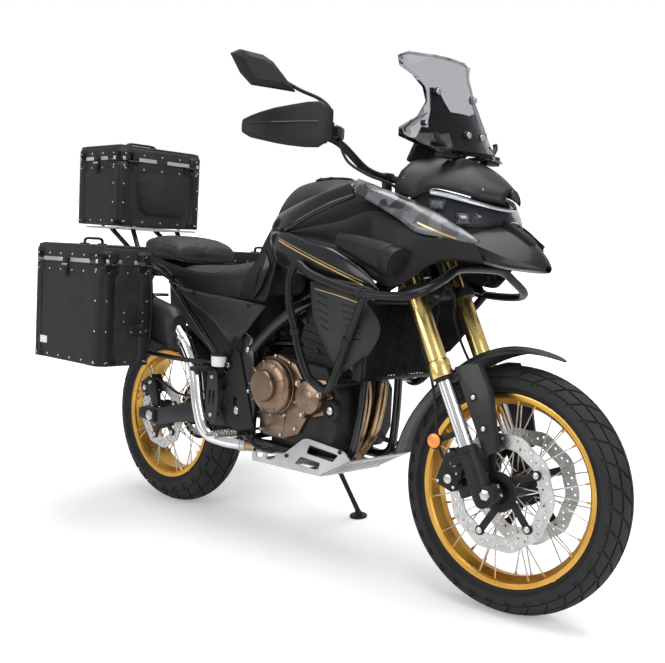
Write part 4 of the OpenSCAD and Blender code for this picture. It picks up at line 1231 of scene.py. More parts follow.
def swell(obj, base_z, pressure=4, cap=0.007, voxel=0.006):
    """Fills a closed pad with air for a moment; what lies on its base stays there."""
    even = obj.modifiers.new("even", "REMESH")
    even.mode, even.voxel_size, even.use_smooth_shade = "VOXEL", voxel, True
    kept_mesh(obj)
    rest = [v.co.copy() for v in obj.data.vertices]
    up = UPRIGHT.inverted()
    held = obj.vertex_groups.new(name="held")
    held.add([v.index for v in obj.data.vertices if (up @ v.co).z < base_z((up @ v.co).x)], 1, "REPLACE")
    cloth = obj.modifiers.new("fill", "CLOTH")
    cloth.settings.vertex_group_mass = "held"
    cloth.settings.use_pressure, cloth.settings.uniform_pressure_force = True, pressure
    cloth.settings.effector_weights.gravity = 0
    cloth.settings.tension_stiffness = cloth.settings.compression_stiffness = 25
    for k in range(1, 21):
        bpy.context.scene.frame_set(k)
    kept_mesh(obj)
    for v, home in zip(obj.data.vertices, rest):
        step = v.co - home
        if step.length > cap:
            v.co = home + step * (cap / step.length)
    bpy.context.scene.frame_set(1)


def cushion(name, node, stations, base_z):
    bm = bmesh.new()
    grid = [oval(*s) for s in stations]
    columns = [path(column, 4) for column in zip(*grid)]
    rows(bm, list(zip(*columns)))
    obj = on_frame(name, bm, leather, node, True)
    swell(obj, base_z)
    obj.data.shade_smooth()
    if not obj.data.materials:
        obj.data.materials.append(leather)
    smoother = obj.modifiers.new("curves", "SUBSURF")
    smoother.levels = smoother.render_levels = 1
    kept_mesh(obj)
    return obj


rider = cushion("rider_seat_cushion", "rider_seat",
                [(124, 122, 822, 858), (170, 136, 806, 860), (230, 141, 792, 862), (300, 143, 783, 864),
                 (380, 143, 780, 871), (460, 134, 780, 886), (515, 110, 781, 899), (542, 84, 786, 906)],
                lambda x: 800 if x > 250 else 830)
passenger = cushion("passenger_seat_cushion", "passenger_seat",
                    [(-110, 92, 896, 940), (-88, 120, 889, 955), (-30, 133, 883, 960), (40, 137, 878, 957),
                     (90, 134, 873, 949), (122, 126, 872, 930)], lambda x: 892)
print("seat faces:", len(rider.data.polygons), len(passenger.data.polygons))

# %% [markdown]
# Seams come after the foam. A seam is found by looking at the cushion from the side and from
# above, so that its thread lies in the cover and not over it. Matt knee panels fill the space
# between seat and tank, and creased side panels hang below the seat.

# %% Seams, knee panels and side panels
def seam(name, cushion_obj, routes, slot, width=1.3):
    """Threads along routes of (origin, direction) looks at the cushion."""
    tree = BVHTree.FromPolygons([UPRIGHT.inverted() @ v.co for v in cushion_obj.data.vertices],
                                [tuple(p.vertices) for p in cushion_obj.data.polygons])
    bm = bmesh.new()
    for eyes, way in routes:
        spots = [tree.ray_cast(p, Vector(way))[0] for p in path(eyes, 8)]
        spots = [s for s in spots if s is not None]
        if len(spots) > 2:
            tube(bm, spots, width, 8)
    return on_frame(name, bm, thread, slot)


seam("rider_seat_seams", rider,
     [([(130, s * 300, 846), (220, s * 300, 845), (320, s * 300, 846), (420, s * 300, 858),
        (500, s * 300, 872)],
       (0, -s, 0)) for s in (1, -1)]
     + [([(x, -150, 1100), (x, -60, 1100), (x, 60, 1100), (x, 150, 1100)], (0, 0, -1)) for x in (210, 330)],
     "rider_seat")
seam("passenger_seat_seams", passenger,
     [([(-100, s * 300, 930), (-40, s * 300, 941), (40, s * 300, 938), (112, s * 300, 925)], (0, -s, 0))
      for s in (1, -1)]
     + [([(x, -140, 1100), (x, -50, 1100), (x, 50, 1100), (x, 140, 1100)], (0, 0, -1)) for x in (-50, 60)],
     "passenger_seat")


KNEE = [
    [(478, 148, 778), (520, 152, 772), (575, 156, 766), (614, 158, 772)],
    [(500, 143, 838), (545, 147, 838), (600, 153, 842), (648, 160, 858)],
    [(526, 124, 900), (565, 132, 904), (615, 142, 912), (662, 160, 926)],
    [(544, 106, 960), (574, 114, 972), (610, 128, 985), (640, 152, 992)],
    [(560, 84, 1016), (580, 98, 1030), (604, 112, 1038), (626, 132, 1034)],
]
SIDE = [
    [(150, 150, 792), (300, 158, 779), (460, 161, 770), (618, 158, 757)],
    [(178, 158, 772), (318, 169, 757), (464, 171, 746), (604, 167, 736)],
    [(366, 158, 690), (418, 162, 655), (470, 162, 626), (528, 160, 664)],
]
panel("knee_panels", "fuel_tank", KNEE, matt, 3, 3, 3)
SEAT_PAN = [
    [(-116, 98, 896), (20, 124, 880), (120, 134, 862), (240, 140, 846), (400, 142, 846), (560, 132, 850)],
    [(-112, 104, 882), (30, 130, 864), (130, 142, 826), (240, 148, 806), (400, 150, 804), (572, 142, 804)],
    [(-106, 102, 868), (44, 128, 848), (160, 142, 792), (262, 148, 764), (400, 150, 764), (590, 146, 764)],
]
panel("seat_pan_skirt", "rider_seat", SEAT_PAN, matt, 2, 3, 3)
panel("seat_side_panels", None, SIDE, satin_panel, 3, 3, 4, ["side_panels"], smooth=20)


def panel_tips():
    bm, screws = bmesh.new(), bmesh.new()
    plate(bm, [(560, 766), (600, 812), (638, 882), (614, 930), (584, 862)], 160, 168, 2.5, 2)
    for x, z in ((268, 776), (486, 640), (548, 752)):
        disc(screws, (x, 168, z), 6, 6, bevel=1)
    both(bm)
    both(screws)
    on_frame("side_panel_tips", bm, gloss, "side_panels")
    on_frame("side_panel_screws", screws, bar_black, "side_panels")


panel_tips()

# %% [markdown]
# The cases are folded aluminium with a dark textured coat. A case is one closed wall: up the
# outside and down the inside of a rounded rectangle, so it is truly hollow. Moulded corner
# pieces are riveted on, a bright band runs round the lid's foot, and the lid has a handle.

# %% Cases, corners, bands and rivets
case_black = finish("case_coating", (0.017, 0.017, 0.018), (0.026, 0.026, 0.027), (0.45, 0.56), 0.2, 16, 900,
                    0.5,
                    depth=0.0008)
band_silver = finish("silver_band", (0.5, 0.5, 0.51), (0.62, 0.62, 0.63), (0.24, 0.34), 0.8, 10, 900, 0.08)
sticker = finish("blank_label", (0.72, 0.72, 0.72), (0.8, 0.8, 0.8), (0.35, 0.45), 0, 6, 900, 0.05)


CORNER = 30


def rounded(l, w, z, grow=0.0, count=6):
    """Outline of a case from above, its front edge at zero."""
    l, w, r, mid = l / 2 + grow, w / 2 + grow, CORNER + grow, -l / 2
    ring = []
    for k in range(4):
        cx, cy = (l - r) * (1, -1, -1, 1)[k], (w - r) * (1, 1, -1, -1)[k]
        for i in range(count + 1):
            a = math.radians(90 * k + 90 * i / count)
            ring.append((mid + cx + r * math.cos(a), cy + r * math.sin(a), z))
    return ring


def corner_cover(bm, l, w, z0, z1, corner, low=36, slim=22):
    """A moulded cover over one upright edge, wider at its two ends."""
    quarter = rounded(l, w, 0, 1.6)[7 * corner:7 * corner + 7]
    a, b = Vector(quarter[0]), Vector(quarter[-1])
    out_a = Vector((quarter[0][0] - quarter[1][0], quarter[0][1] - quarter[1][1], 0))
    out_b = Vector((quarter[-1][0] - quarter[-2][0], quarter[-1][1] - quarter[-2][1], 0))
    axis = (lambda v: Vector((math.copysign(1, v.x), 0, 0)) if abs(v.x) > abs(v.y)
            else Vector((0, math.copysign(1, v.y), 0)))
    lines = []
    for z, reach in ((z0, low), (z0 + 24, low), (z0 + 34, slim), (z1 - 34, slim), (z1 - 24, low), (z1, low)):
        pts = [a + axis(out_a) * reach] + [Vector(q) for q in quarter] + [b + axis(out_b) * reach]
        lines.append([(p.x, p.y, z) for p in pts])
    known = set(bm.faces)
    rows(bm, lines, closed=False)
    made = [f for f in bm.faces if f not in known]
    middle = Vector((-l / 2, 0, (z0 + z1) / 2))
    for f in made:
        f.normal_update()
    if sum(f.normal.dot(f.calc_center_median() - middle) for f in made) < 0:
        bmesh.ops.reverse_faces(bm, faces=made)


def rivet_rows(bm, l, w, heights, inset=30, pitch=78):
    """Domed rivets on all four sides at the given heights."""
    for z in heights:
        n = max(2, round((w - 2 * inset) / pitch) + 1)
        for i in range(n):
            y = -w / 2 + inset + (w - 2 * inset) * i / (n - 1)
            disc(bm, (0.6, y, z), 3.6, 3, "X", 14, 1)
            disc(bm, (-l - 0.6, y, z), 3.6, 3, "X", 14, 1)
        n = max(2, round((l - 2 * inset) / pitch) + 1)
        for i in range(n):
            x = -inset - (l - 2 * inset) * i / (n - 1)
            disc(bm, (x, w / 2 + 0.6, z), 3.6, 3, "Y", 14, 1)
            disc(bm, (x, -w / 2 - 0.6, z), 3.6, 3, "Y", 14, 1)


def bands(bm, l, w, z, high, gap=34):
    """A bright strip on every side, open in the middle for the latch."""
    for s in (1, -1):
        for part in (1, -1):
            y = part * (w / 4 + gap / 4 - 6)
            block(bm, (2.4, w / 2 - gap / 2 - 26, high), (-l / 2 + s * (l / 2 + 0.4), y, z), None, 0.8)
            x = -l / 2 + part * (l / 4 + gap / 4 - 6)
            block(bm, (l / 2 - gap / 2 - 26, 2.4, high), (x, s * (w / 2 + 0.4), z), None, 0.8)


def latch(bm, bright, at, out, wide=30):
    """An over-centre clip with its plate, facing out along x or y."""
    x, y, z = at
    size = (lambda t, h: (t, wide, h) if out.x else (wide, t, h))
    step = (lambda d: (x + out.x * d, y + out.y * d))
    block(bm, size(5, 46), (*step(2.5), z - 20), None, 1.5)
    block(bm, size(7, 26), (*step(6), z - 18), None, 2.5)
    block(bright, (size(3, 6)), (*step(8.5), z - 4), None, 1)


def case(name, lid_body, at, l, w, h, lid_h):
    """A hollow box and its hollow lid, long, wide and high; the lid's height comes on top."""
    place, wall, top = shifted(UPRIGHT, *at), 4, h + lid_h
    box = [(0, -4), (4, 0), (h, 0), (h, -wall), (wall, -wall)]
    shell = rows(bmesh.new(), [rounded(l, w, z, grow) for z, grow in box])
    finish_piece(name + "_shell", shell, "chassis", place, case_black, None, [name])
    cover = [(top, -20), (top - 4, -9), (top - 11, -3), (top - 20, 0), (h + 0.8, 0), (h + 0.8, -wall),
             (top - wall, -wall)]
    lid = rows(bmesh.new(), [rounded(l, w, z, grow) for z, grow in cover])
    finish_piece(name + "_lid_shell", lid, lid_body, place, case_black, None, [name + "_lid"])
    covers, lid_covers, rivets, lid_rivets = (bmesh.new() for _ in range(4))
    for k in range(4):
        corner_cover(covers, l, w, 0.5, h - 1, k)
        corner_cover(lid_covers, l, w, h + 1.5, h + lid_h - 19, k, 34, 34)
    rivet_rows(rivets, l, w, (14, h - 22))
    rivet_rows(lid_rivets, l, w, (h + 30,))
    for k in range(4):
        x, y = (-24 if k in (0, 3) else 24 - l), (w / 2 + 2.6) * (1 if k < 2 else -1)
        for z in (12, h * 0.35, h * 0.65, h - 14):
            disc(rivets, (x, y, z), 3.4, 3, "Y", 14, 1)
            disc(rivets, (2.6 if k in (0, 3) else -l - 2.6, (w / 2 - 24) * (1 if k < 2 else -1), z), 3.4, 3,
                 "X", 14, 1)
    band, latches, clips = bmesh.new(), bmesh.new(), bmesh.new()
    bands(band, l, w, h + 12, 13)
    hooks = bmesh.new()
    for out in (Vector((-1, 0, 0)), Vector((0, 1, 0)), Vector((0, -1, 0))):
        spot = (-l, 0, h) if out.x else (-l / 2, out.y * w / 2, h)
        latch(latches, clips, spot, out)
        x, y, z = spot
        block(hooks, (6, 26, 14) if out.x else (26, 6, 14), (x + out.x * 3.2, y + out.y * 3.2, h + 12), None,
              2)
    for y in (-w / 3, w / 3):
        disc(latches, (6, y - 12.5, h + 0.4), 5, 24, bevel=1)
        block(latches, (5, 22, 20), (1.8, y - 12.5, h - 12), None, 1.5)
        disc(hooks, (6, y + 12.5, h + 0.4), 5, 24, bevel=1)
        block(hooks, (5, 22, 18), (1.8, y + 12.5, h + 12), None, 1.5)
    grip = path([(-l / 2, -w / 6, top - 3), (-l / 2, -w / 6, top + 12), (-l / 2, -w / 8, top + 19),
                 (-l / 2, 0, top + 19.5), (-l / 2, w / 8, top + 19), (-l / 2, w / 6, top + 12),
                 (-l / 2, w / 6, top - 3)], 4)
    tube(hooks, grip, 6.5, 12, flat=0.7)
    for s in (1, -1):
        block(hooks, (30, 20, 5), (-l / 2, s * w / 6, top + 1.5), None, 1.5)
    for key, bm, body, m in (("_corners", covers, "chassis", plastic), ("_rivets", rivets, "chassis", steel),
                             ("_latches", latches, "chassis", bar_black),
                             ("_clips", clips, "chassis", steel)):
        finish_piece(name + key, bm, body, place, m, name, wall=2.4 if key == "_corners" else 0)
    for key, bm, m in (("_corners", lid_covers, plastic), ("_rivets", lid_rivets, steel),
                       ("_band", band, band_silver), ("_handle", hooks, bar_black)):
        finish_piece(name + "_lid" + key, bm, lid_body, place, m, name + "_lid",
                     wall=2.4 if key == "_corners" else 0)


case("top_case", "top_lid", (-172, 0, 996), 275, 380, 228, 62)
case("right_case", "right_lid", (190, -377, 530), 415, 200, 324, 66)
case("left_case", "left_lid", (190, 377, 530), 415, 200, 324, 66)

# %% [markdown]
# The top case has a pressed field on its front, and the side cases a bracket and a blank
# label. These are thin pieces laid on the walls, each with an eased rim.

# %% Pressed field, brackets and labels
def case_trim():
    field, rim = bmesh.new(), bmesh.new()
    shape = [(-96, 1060), (-70, 1036), (96, 1036), (118, 1062), (104, 1176), (74, 1196), (-78, 1196),
             (-112, 1166)]
    for grow, bm, x in ((1.0, rim, -172), (0.9, field, -169.6)):
        face = bm.faces.new([bm.verts.new((x, y * grow, 1116 + (z - 1116) * grow)) for y, z in shape])
        pulled = bmesh.ops.extrude_face_region(bm, geom=[face])["geom"]
        bmesh.ops.translate(bm, verts=verts_of(pulled), vec=(2.6, 0, 0))
        bmesh.ops.recalc_face_normals(bm, faces=bm.faces)
        soften(bm, bm.edges[:], 0.9, 2)
    on_frame("top_case_field_rim", rim, plastic, "top_case")
    on_frame("top_case_field", field, case_black, "top_case")
    for s, side in ((1, "left"), (-1, "right")):
        bm, mark, studs = bmesh.new(), bmesh.new(), bmesh.new()
        block(bm, (3, 90, 46), (191.2, s * 352, 690), None, 1)
        block(bm, (3, 60, 30), (191.2, s * 340, 640), None, 1)
        block(mark, (62, 1.2, 24), (-160, s * 477.8, 590), None, 0.4)
        for y, z in ((316, 704), (388, 704), (316, 676), (388, 676), (322, 640), (358, 640)):
            disc(studs, (193, s * y, z), 3.6, 3, "X", 14, 1)
        on_frame(f"{side}_case_bracket", bm, plastic, f"{side}_case")
        on_frame(f"{side}_case_label_blank", mark, sticker, f"{side}_case")
        on_frame(f"{side}_case_studs", studs, steel, f"{side}_case")


case_trim()

# %% [markdown]
# The frame is welded tube: two spars from the steering head to the swingarm plates, a cradle
# under the engine, and thinner rails that carry the seat. Each tube follows a short list of
# bend points. A dark crash bar of thicker tube loops round the fairing on each side.

# %% Frame and crash bars
paint_black = finish("frame_enamel", (0.012, 0.012, 0.013), (0.018, 0.018, 0.02), (0.14, 0.22), 0.1, 8, 1800,
                     0.05,
                     coat=0.6)


def frame_tubes():
    bm, bolts = bmesh.new(), bmesh.new()
    tube(bm, path([(1052, 30, 955), (1000, 60, 918), (800, 116, 800), (650, 132, 705), (530, 136, 600)], 6),
         19, 20)
    tube(bm, path([(1086, 14, 880), (996, 44, 824), (974, 64, 710), (972, 74, 590), (960, 84, 420),
                   (930, 92, 328), (820, 100, 312), (620, 106, 314), (560, 136, 326)], 5), 13, 16)
    tube(bm, path([(545, 142, 640), (340, 128, 722), (120, 118, 800), (-60, 108, 862), (-130, 100, 880)], 5),
         12, 16)
    bar(bm, (500, 141, 470), (66, 115, 806), 9)
    plate(bm, [(505, 660), (555, 650), (575, 480), (570, 330), (535, 322), (500, 356), (455, 380),
               (455, 480)], 132, 152, 4, 3)
    for x, z, r in ((490, 410, 16), (535, 612, 10), (548, 350, 9), (545, 480, 8)):
        disc(bolts, (x, 153, z), r, 6, "Y", 6, 1.2)
        disc(bolts, (x, 155, z), r * 0.6, 5, "Y", 20, 0.8)
    both(bm)
    both(bolts)
    for x, z, r, w in ((800, 800, 14, 232), (530, 625, 12, 280), (120, 800, 9, 236), (-60, 848, 8, 212),
                       (556, 336, 9, 270)):
        disc(bm, (x, 0, z), r, w, "Y", 24, 1)
    stem(bm, (1116.5, 0, 833.9), [(0, 27), (2, 33), (26, 33), (30, 30), (176, 30), (180, 33), (204, 33),
                                  (206, 27)], (-0.4617, 0, 0.887))
    block(bm, (70, 26, 60), (1030, 0, 925), spun(0.5), 6)
    on_frame("frame_tubes", bm, paint_black, "frame", True)
    on_frame("frame_bolts", bolts, steel, "frame")


def crash_bars():
    bm, clamps = bmesh.new(), bmesh.new()
    hoop = path([(1300, 0, 905), (1300, 100, 900), (1302, 160, 874), (1288, 240, 838), (1230, 268, 824),
                 (1110, 274, 827), (985, 264, 848), (900, 256, 870), (844, 250, 893), (818, 250, 850),
                 (818, 249, 780), (831, 238, 716), (847, 226, 639), (872, 212, 572), (911, 200, 541),
                 (946, 200, 543), (974, 212, 573), (1003, 220, 629), (1050, 233, 710), (1113, 262, 800),
                 (1128, 268, 822)], 5)
    tube(bm, hoop, 12, 16)
    bar(bm, (822, 246, 765), (806, 136, 792), 9)
    bar(bm, (927, 196, 545), (968, 90, 562), 9)
    for at, way in (((835, 240, 706), (0.22, -0.2, -1)), ((1030, 229, 680), (0.5, 0.15, 0.85)),
                    ((1125, 274, 826), (-1, 0, 0.05))):
        stem(clamps, at, [(0, 13), (1, 14.5), (17, 14.5), (18, 13)], way, 20)
    disc(clamps, (806, 152, 790), 14, 14, "Y", 6, 1.5)
    both(bm)
    both(clamps)
    bmesh.ops.remove_doubles(bm, verts=bm.verts, dist=0.1)
    on_frame("crash_bar_hoops", bm, bar_black, "crash_bars", True, smooth=50)
    on_frame("crash_bar_joints", clamps, cast_black, "crash_bars")


frame_tubes()
crash_bars()

# %% [markdown]
# The engine shows mostly its covers. The big one over the clutch is a bronze casting with a
# raised cap, ribs and a ring of bolts; a smaller one with rings sits ahead of it. Behind
# them the crankcase and the cylinders are plain dark castings with a few fins.

# %% Engine and covers
bronze = finish("bronze_casting", (0.19, 0.13, 0.09), (0.3, 0.21, 0.15), (0.26, 0.36), 0.95, 12, 900, 0.15)
engine_black = finish("engine_casting", (0.018, 0.018, 0.019), (0.03, 0.03, 0.032), (0.5, 0.6), 0.3, 18, 600,
                      0.4,
                      depth=0.0008)


def engine():
    cases = bmesh.new()
    block(cases, (270, 190, 26), (735, 0, 334), None, 5)
    block(cases, (50, 216, 250), (578, 0, 470), None, 8)
    for s in (1, -1):
        plate(cases, [(40, 812), (545, 800), (562, 640), (520, 486), (430, 474), (350, 530), (262, 594),
                      (160, 652),
                      (50, 722)], s * 96, s * 101, 1.5, 2)
    plate(cases, [(594, 345), (880, 338), (912, 400), (912, 520), (860, 590), (650, 606), (596, 560),
                  (592, 440)], -125, 125, 8, 3)
    plate(cases, [(690, 560), (880, 520), (925, 690), (890, 745), (740, 770)], -97, 97, 6, 3)
    for k in range(6):
        plate(cases, [(702 + 6 * k, 590 + 24 * k), (894 + 6 * k, 556 + 24 * k), (895 + 6 * k, 562 + 24 * k),
                      (703 + 6 * k, 596 + 24 * k)], -101, 101, 1, 1)
    for s in (1, -1):
        for x, z in ((720, 640), (790, 630), (860, 615), (735, 720), (880, 700)):
            disc(cases, (x, s * 99, z), 11, 8, "Y", 20, 1.5)
    for x, z in ((640, 350), (720, 345), (800, 342)):
        block(cases, (40, 200, 10), (x, 0, z - 2), None, 3)
    on_frame("crankcase_and_cylinders", cases, engine_black, "engine", True)


def cover_bolts(bm, at, r, count, y, size=6):
    for k in range(count):
        a = 2 * math.pi * (k + 0.4) / count
        disc(bm, (at[0] + r * math.cos(a), y, at[1] + r * math.sin(a)), size, 7, "Y", 6, 1)


def right_covers():
    cast, bolts, black = bmesh.new(), bmesh.new(), bmesh.new()
    plate(cast, [(580, 556), (606, 598), (665, 610), (742, 588), (772, 548), (872, 556), (902, 506),
                 (880, 452), (796, 430), (764, 376), (700, 352), (604, 354), (580, 420)], -138, -126, 4, 3)
    out = (0, -1, 0)
    stem(cast, (665, -130, 512), [(0, 86), (22, 86), (24, 83), (28, 83), (30, 86), (40, 85), (47, 80),
                                  (52, 70),
                                  (54, 56)], out, 72)
    stem(black, (665, -150, 512), [(2, 84), (10, 84)], out, 72)
    stem(cast, (656, -182, 514), [(0, 49), (2, 50), (14, 49), (18, 46), (20, 42), (18, 39), (17, 10)], out,
         64)
    for k in range(9):
        a = math.radians(20 + 40 * k)
        turn = spun(-a)
        block(cast, (30, 8, 6), (660 + 65 * math.cos(a), -180, 513 + 65 * math.sin(a)), turn, 2)
    stem(cast, (830, -130, 500), [(0, 52), (34, 52), (42, 49), (45, 44), (44, 41), (37, 39), (37, 29),
                                  (44, 27), (47, 22),
                                  (45, 17), (40, 16), (40, 5)], out, 64)
    for k in range(3):
        a = math.radians(15 + 120 * k)
        disc(cast, (830 + 54 * math.cos(a), -154, 500 + 54 * math.sin(a)), 12, 44, "Y", 20, 2)
        disc(bolts, (830 + 54 * math.cos(a), -178, 500 + 54 * math.sin(a)), 7, 6, "Y", 6, 1)
    block(cast, (90, 12, 60), (660, -136, 404), None, 5)
    cover_bolts(bolts, (665, 512), 93, 9, -141)
    for x, z in ((600, 366), (690, 364), (752, 392), (600, 440), (884, 470), (880, 536)):
        disc(bolts, (x, -140, z), 6, 7, "Y", 6, 1)
    stem(black, (905, -128, 470), [(0, 32), (18, 32), (22, 28), (22, 20), (20, 18), (20, 4)], out, 40)
    stem(bolts, (905, -147, 470), [(0, 12), (4, 12), (6, 9)], out, 24)
    on_frame("right_engine_covers", cast, bronze, "engine_covers", True)
    on_frame("right_cover_bolts", bolts, steel, "engine_covers")
    on_frame("starter_cover", black, cast_black, "engine_covers")


def left_covers():
    cast, bolts = bmesh.new(), bmesh.new()
    out = (0, 1, 0)
    stem(cast, (680, 126, 500), [(0, 84), (30, 84), (38, 80), (43, 70), (45, 56), (42, 52), (42, 20)], out,
         72)
    stem(cast, (820, 126, 520), [(0, 40), (30, 40), (36, 36), (38, 28), (35, 24), (35, 8)], out, 48)
    for k in range(8):
        a = math.radians(45 * k)
        block(cast, (30, 8, 6), (680 + 62 * math.cos(a), 166, 500 + 62 * math.sin(a)), spun(-a), 2)
    cover_bolts(bolts, (680, 500), 79, 8, 164, 5)
    on_frame("left_engine_covers", cast, bronze, "engine_covers")
    on_frame("left_cover_bolts", bolts, steel, "engine_covers")


engine()
right_covers()
left_covers()

# %% [markdown]
# Two headers come down behind the front wheel, tinted by heat. They join under the engine,
# and a bright link pipe climbs on the right to the muffler, an oval can with a steel
# lower edge. The welds and clamps are short rings on the pipes.

# %% Exhaust
tinted = finish("heat_tinted_steel", (0.3, 0.19, 0.1), (0.48, 0.35, 0.22), (0.2, 0.3), 1, 9, 900, 0.06)
can_grey = finish("muffler_coating", (0.03, 0.03, 0.032), (0.045, 0.045, 0.048), (0.36, 0.46), 0.4, 9, 900,
                  0.15)


def pipes():
    hot, link, rings = bmesh.new(), bmesh.new(), bmesh.new()
    for y in (-42, 42):
        tube(hot, path([(898, y, 606), (930, y, 584), (940, y * 0.8, 500), (916, y * 0.7, 390),
                        (866, y * 0.4, 312)], 7), 19, 24)
        stem(rings, (900, y, 605), [(0, 26), (2, 28), (8, 28), (10, 26)], (0.9, 0, -0.42), 24)
    under = path([(898, 0, 326), (800, -8, 300), (660, -44, 298), (560, -84, 300), (500, -122, 302)], 6)
    tube(hot, under, 22, 24)
    rise = path([(500, -122, 302), (440, -160, 308), (385, -186, 330), (346, -190, 410), (320, -190, 520),
                 (280, -196, 600), (232, -202, 650)], 8)
    tube(link, rise, 22, 28)
    stem(rings, (508, -117, 302), [(0, 23), (1, 26), (5, 26), (6, 24), (16, 24), (17, 26), (21, 26),
                                   (22, 23)], (-0.83, -0.55, 0.03), 32)
    stem(rings, (268, -198, 614), [(0, 23), (1, 26), (18, 26), (19, 23)], (-0.77, -0.08, 0.62), 32)
    on_frame("header_pipes", hot, tinted, "exhaust_pipes", True, smooth=50)
    on_frame("link_pipe", link, chrome, "exhaust_pipes", smooth=50)
    on_frame("pipe_clamps", rings, steel, "exhaust_pipes")


def muffler():
    can, trim, tip = bmesh.new(), bmesh.new(), bmesh.new()
    rows(can, [oval(*s, -206, 0.83, 32) for s in ((-30, 38, 642, 774), (-26, 43, 634, 779),
                                                  (-20, 45, 629, 781), (100, 45, 605, 751),
                                      (190, 44, 588, 731), (224, 43, 583, 723), (238, 36, 592, 708),
                                      (246, 29, 601, 699))])
    rows(trim, [oval(*s, -206, 0.83, 32) for s in ((-34, 39, 641, 775), (-33, 44.5, 632, 781.5),
                                                   (-18, 46, 627.5, 782),
                                       (-10, 46, 627, 780.5), (-9, 44, 629, 778))])
    strip = [[(x, -206 + 46.5 * math.sin(a) * 0.94, z + (1 - math.cos(a)) * 14) for a in
              [math.radians(d) for d in (-62, -45, -28, -10, 10)]]
             for x, z in ((-8, 625), (60, 611.5), (140, 596), (210, 583))]
    rows(trim, strip, closed=False)
    stem(tip, (-30, -206, 708), [(0, 27), (14, 28), (18, 28), (18.5, 23), (6, 22), (4, 6)],
         (-0.97, -0.06, 0.24), 32)
    stem(tip, (150, -240, 700), [(0, 9), (3, 9), (4, 6)], (0, -1, 0), 20)
    block(trim, (30, 60, 10), (90, -178, 758), None, 3)
    bmesh.ops.recalc_face_normals(trim, faces=trim.faces)
    on_frame("muffler_can", can, can_grey, "muffler", True, smooth=40)
    on_frame("muffler_trim", trim, steel, "muffler")
    on_frame("muffler_tip", tip, cast_black, "muffler")


pipes()
muffler()

# %% [markdown]
# The skid plate is bent sheet aluminium. Its sides have four cut-outs each, and the sloped
# front has drain slots. Outline and cut-outs are edge loops filled together, and then the
# sheet gets its thickness. The radiator behind has a woven guard of crossing wires.

# %% Skid plate and radiator
sheet_silver = finish("brushed_aluminium", (0.5, 0.5, 0.51), (0.6, 0.6, 0.61), (0.36, 0.48), 0.75, 14, 900,
                      0.1)


def pierced(bm, loops, place, thick):
    """A flat sheet with holes: the first loop is its outline."""
    known = set(bm.faces)
    edges = []
    for loop in loops:
        edges += ring_edges(bm, [place(u, v) for u, v in loop], True)[1]
    bmesh.ops.triangle_fill(bm, use_beauty=True, edges=edges)
    faces = [f for f in bm.faces if f not in known]
    bmesh.ops.recalc_face_normals(bm, faces=faces)
    bmesh.ops.solidify(bm, geom=faces, thickness=thick)
    return bm


def eased(loop, r=5):
    """Cuts the corners of an outline, so cut-outs look punched."""
    out = []
    for i, p in enumerate(loop):
        p, a, b = Vector(p), Vector(loop[i - 1]), Vector(loop[(i + 1) % len(loop)])
        back, on = (a - p).normalized(), (b - p).normalized()
        out += [tuple(p + back * r), tuple(p + (back + on) * r * 0.3), tuple(p + on * r)]
    return out


def skid_plate():
    bm, bolts = bmesh.new(), bmesh.new()
    side = [(556, 263), (868, 269), (983, 330), (957, 356), (806, 370), (786, 366), (700, 304), (556, 302)]
    holes = [[(574, 274), (604, 275), (608, 294), (580, 294)],
             [(622, 275), (656, 276), (668, 296), (626, 295)],
             [(752, 284), (852, 282), (862, 306), (776, 310)],
             [(800, 324), (912, 318), (934, 342), (812, 352)]]
    for s in (1, -1):
        pierced(bm, [eased(side, 8)] + [eased(h) for h in holes], lambda u, v: (u, s * 133, v), 4)
    slope = math.hypot(115, 61)
    slots = [[(y - 9, 22), (y + 9, 22), (y + 9, 100), (y - 9, 100)] for y in (-96, -58, -20, 20, 58, 96)]
    pierced(bm, [[(-133, 0), (133, 0), (133, slope), (-133, slope)]] + [eased(h, 6) for h in slots],
            lambda u, v: (868 + 115 * v / slope, u, 269 + 61 * v / slope), 4)
    pierced(bm, [[(-133, 556), (133, 556), (133, 868), (-133, 868)]]
            + [eased([(y - 22, x), (y + 22, x), (y + 22, x + 60), (y - 22, x + 60)], 8)
               for y in (-70, 70) for x in (590, 700, 790)],
            lambda u, v: (v, u, 263 + 6 * (v - 556) / 312), 4)
    for s in (1, -1):
        for x, z in ((716, 302), (940, 352), (570, 296)):
            disc(bolts, (x, s * 135, z), 6, 6, bevel=1)
    on_frame("skid_plate_sheet", bm, sheet_silver, "skid_plate", True, smooth=20)
    on_frame("skid_plate_bolts", bolts, bar_black, "skid_plate")


def radiator():
    turn = Matrix.Translation((1026, 0, 688)) @ spun(math.radians(4))
    core, guard = bmesh.new(), bmesh.new()
    block(core, (24, 300, 206), (-2, 0, 0), None, 2)
    for s in (1, -1):
        block(core, (34, 22, 232), (0, s * 158, 0), None, 6)
        block(guard, (6, 330, 12), (14, 0, s * 110), None, 2)
        block(guard, (6, 12, 226), (14, s * 160, 0), None, 2)
    for lean in (1, -1):
        for k in range(-20, 21):
            c = 13 * k
            z0, z1 = max(-108, -158 - c), min(108, 158 - c)
            if z1 - z0 > 12:
                bar(guard, (14 + lean * 0.8, lean * (c + z0), z0), (14 + lean * 0.8, lean * (c + z1), z1),
                    1.5, 6)
    for bm in (core, guard):
        bmesh.ops.transform(bm, matrix=turn, verts=bm.verts)
    on_frame("radiator_core", core, engine_black, "radiator", True)
    on_frame("radiator_guard", guard, bar_black, "radiator")


skid_plate()
radiator()

# %% [markdown]
# The swingarm is a deep beam on each side that tapers to the axle, with an adjuster block and
# a big nut at its end. The chain is built link by link round both sprockets, and the rear
# sprocket, which turns with the wheel, is a toothed ring with punched windows.

